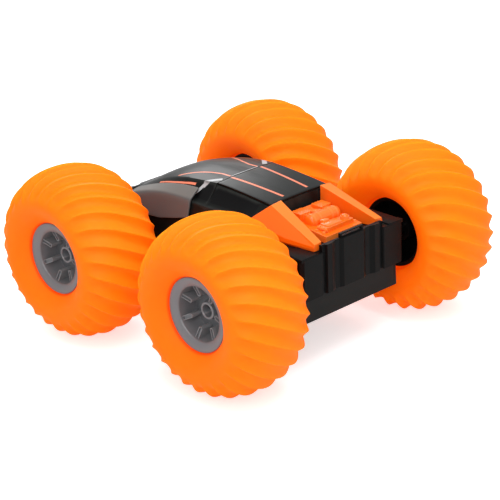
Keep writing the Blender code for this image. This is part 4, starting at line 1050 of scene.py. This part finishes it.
bolts = [(-14.6, rear + 1.0), (-14.6, rear + 8.0), (14.4, rear + 1.4), (14.4, rear + 7.8), (13.6, BARREL_Y + 4.0)]
for x, y in bolts:
    add_rod(engine, (x, y, BARREL_Z - 4.6), (x, y, BARREL_Z - 1.4), 1.3, 1.1, 12)
HOSE_X, HOSE_Z = 11.6, BARREL_Z - 1.0
for step in range(4):      # a ribbed hose at the left rear corner
    rib = [(HOSE_X, rear + reach + step * 1.9, HOSE_Z) for reach in (1.2, 2.2)]
    add_rod(engine, *rib, 1.5, segments=14)
add_rod(engine, (HOSE_X, rear, HOSE_Z), (HOSE_X, rear + 8.6, HOSE_Z), 1.1, segments=14)
finish_piece("engine_details", engine, gloss_orange, "chassis", "gloss_orange", corner=40.0)
print("engine dressed")

# %% [markdown]
# Beside the engine bay the bumper's cheeks stand a little way out from the shell. A sloping side deck
# closes the gap on each side: a thin slab, higher by the fin, falling a little towards the wheel and
# narrower towards the cabin.

# %% Close the side decks
cheek_high = Vector(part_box("rear_bumper")[1]) / MM
for word, side in SIDES:
    deck = bmesh.new()
    add_block(deck, (34.5, ROOF_LENGTH + 5.0, 82.6), (cheek_high.x, cheek_high.y - 0.4, 84.9), 0.25)
    for point in deck.verts:
        fall = ease(point.co.x / MM, 36.0, cheek_high.x)
        narrow = ease(point.co.y / MM, WHEEL_Y / MM - 9.0, ROOF_LENGTH + 5.0)
        point.co.z -= 0.5 * fall * MM
        point.co.x = min(point.co.x, (cheek_high.x - 5.0 * narrow) * MM)
        point.co.x *= side
    finish_piece(f"{word}_side_deck", deck, body_black, "chassis", "body_black", corner=30.0)
print("side decks", 2)

# %% [markdown]
# The kept CAD pieces have the right shape but knife-sharp edges, which real moulding never has. A
# Weld modifier joins their loose triangles and a Bevel rounds every true corner, so the edges catch a
# thin line of light. The mesh underneath stays as it is.

# %% Soften the kept pieces
def soften(node, finish, width):
    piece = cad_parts[node]
    for index in range(max(1, len(piece.data.materials))):
        if index < len(piece.data.materials):
            piece.data.materials[index] = finish
        else:
            piece.data.materials.append(finish)
    weld = piece.modifiers.new("weld", "WELD")
    weld.merge_threshold = 0.002 * MM
    if width:
        round_off = piece.modifiers.new("round_off", "BEVEL")
        round_off.width, round_off.segments = width, 2
        round_off.limit_method, round_off.angle_limit = "ANGLE", math.radians(28)


KEPT = {
    "left_rear_fin": (fin_orange, 0.5), "right_rear_fin": (fin_orange, 0.5),
    "rear_bumper": (body_black, 0.5), "front_bumper": (body_black, 0.5), "lower_shell": (body_black, 0.5),
    "battery_door": (body_black, 0.25), "battery_door_screw": (steel, 0.15), "rear_body_screw": (steel, 0.15),
    "front_body_screw": (steel, 0.15), "battery_pack": (battery_wrap, 1.2), "receiver_board": (board_green, 0.2),
    "power_switch": (body_black, 0.3), "switch_slider": (nylon, 0.3),
    "engine_cover": (gloss_orange, 0.3),
}
for word in ("left", "right"):
    KEPT[f"{word}_gear_plate"] = (body_black, 0.2)
    KEPT[f"{word}_motor"] = (motor_steel, 0.5)
    KEPT[f"{word}_motor_pinion"] = (brass, 0.0)
    for gear in ("rear_idler", "middle_idler", "front_idler", "reduction_gear"):
        KEPT[f"{word}_{gear}"] = (nylon, 0.12)
for place, side, end in PLACES:
    KEPT[f"{place}_axle"] = (steel, 0.1)
    KEPT[f"{place}_wheel_screw"] = (steel, 0.2)
    KEPT[f"{place}_axle_gear"] = (nylon, 0.12)
for node, (finish, width) in KEPT.items():
    soften(node, finish, width * MM)
print("softened", len(KEPT), "kept pieces")

# %% [markdown]
# Last, the floor gets its paint. It is a little darker to the light that bounces off it than to the
# camera, and glows only to the camera, so it melts into the background without flooding the car with
# light.

# %% Paint the floor and finish
def print_floor(tree, base):
    path = add_node(tree, "ShaderNodeLightPath")
    return mix_colours(tree, path.outputs["Is Camera Ray"], linear(226, 226, 226), base)


floor_paint = mix_finish(
    "floor_paint", linear(246, 246, 246), linear(243, 243, 243), linear(246, 246, 246), 0.8, 0.9, 300.0, 0.02,
    print_on=print_floor, emission_color=(0.6, 0.6, 0.6, 1.0), specular_ior_level=0.1,
)
floor_tree = floor_paint.node_tree
floor_path = add_node(floor_tree, "ShaderNodeLightPath")
floor_shader = next(node for node in floor_tree.nodes if node.type == "BSDF_PRINCIPLED")
floor_tree.links.new(floor_path.outputs["Is Camera Ray"], floor_shader.inputs["Emission Strength"])
studio_floor.data.materials.append(floor_paint)
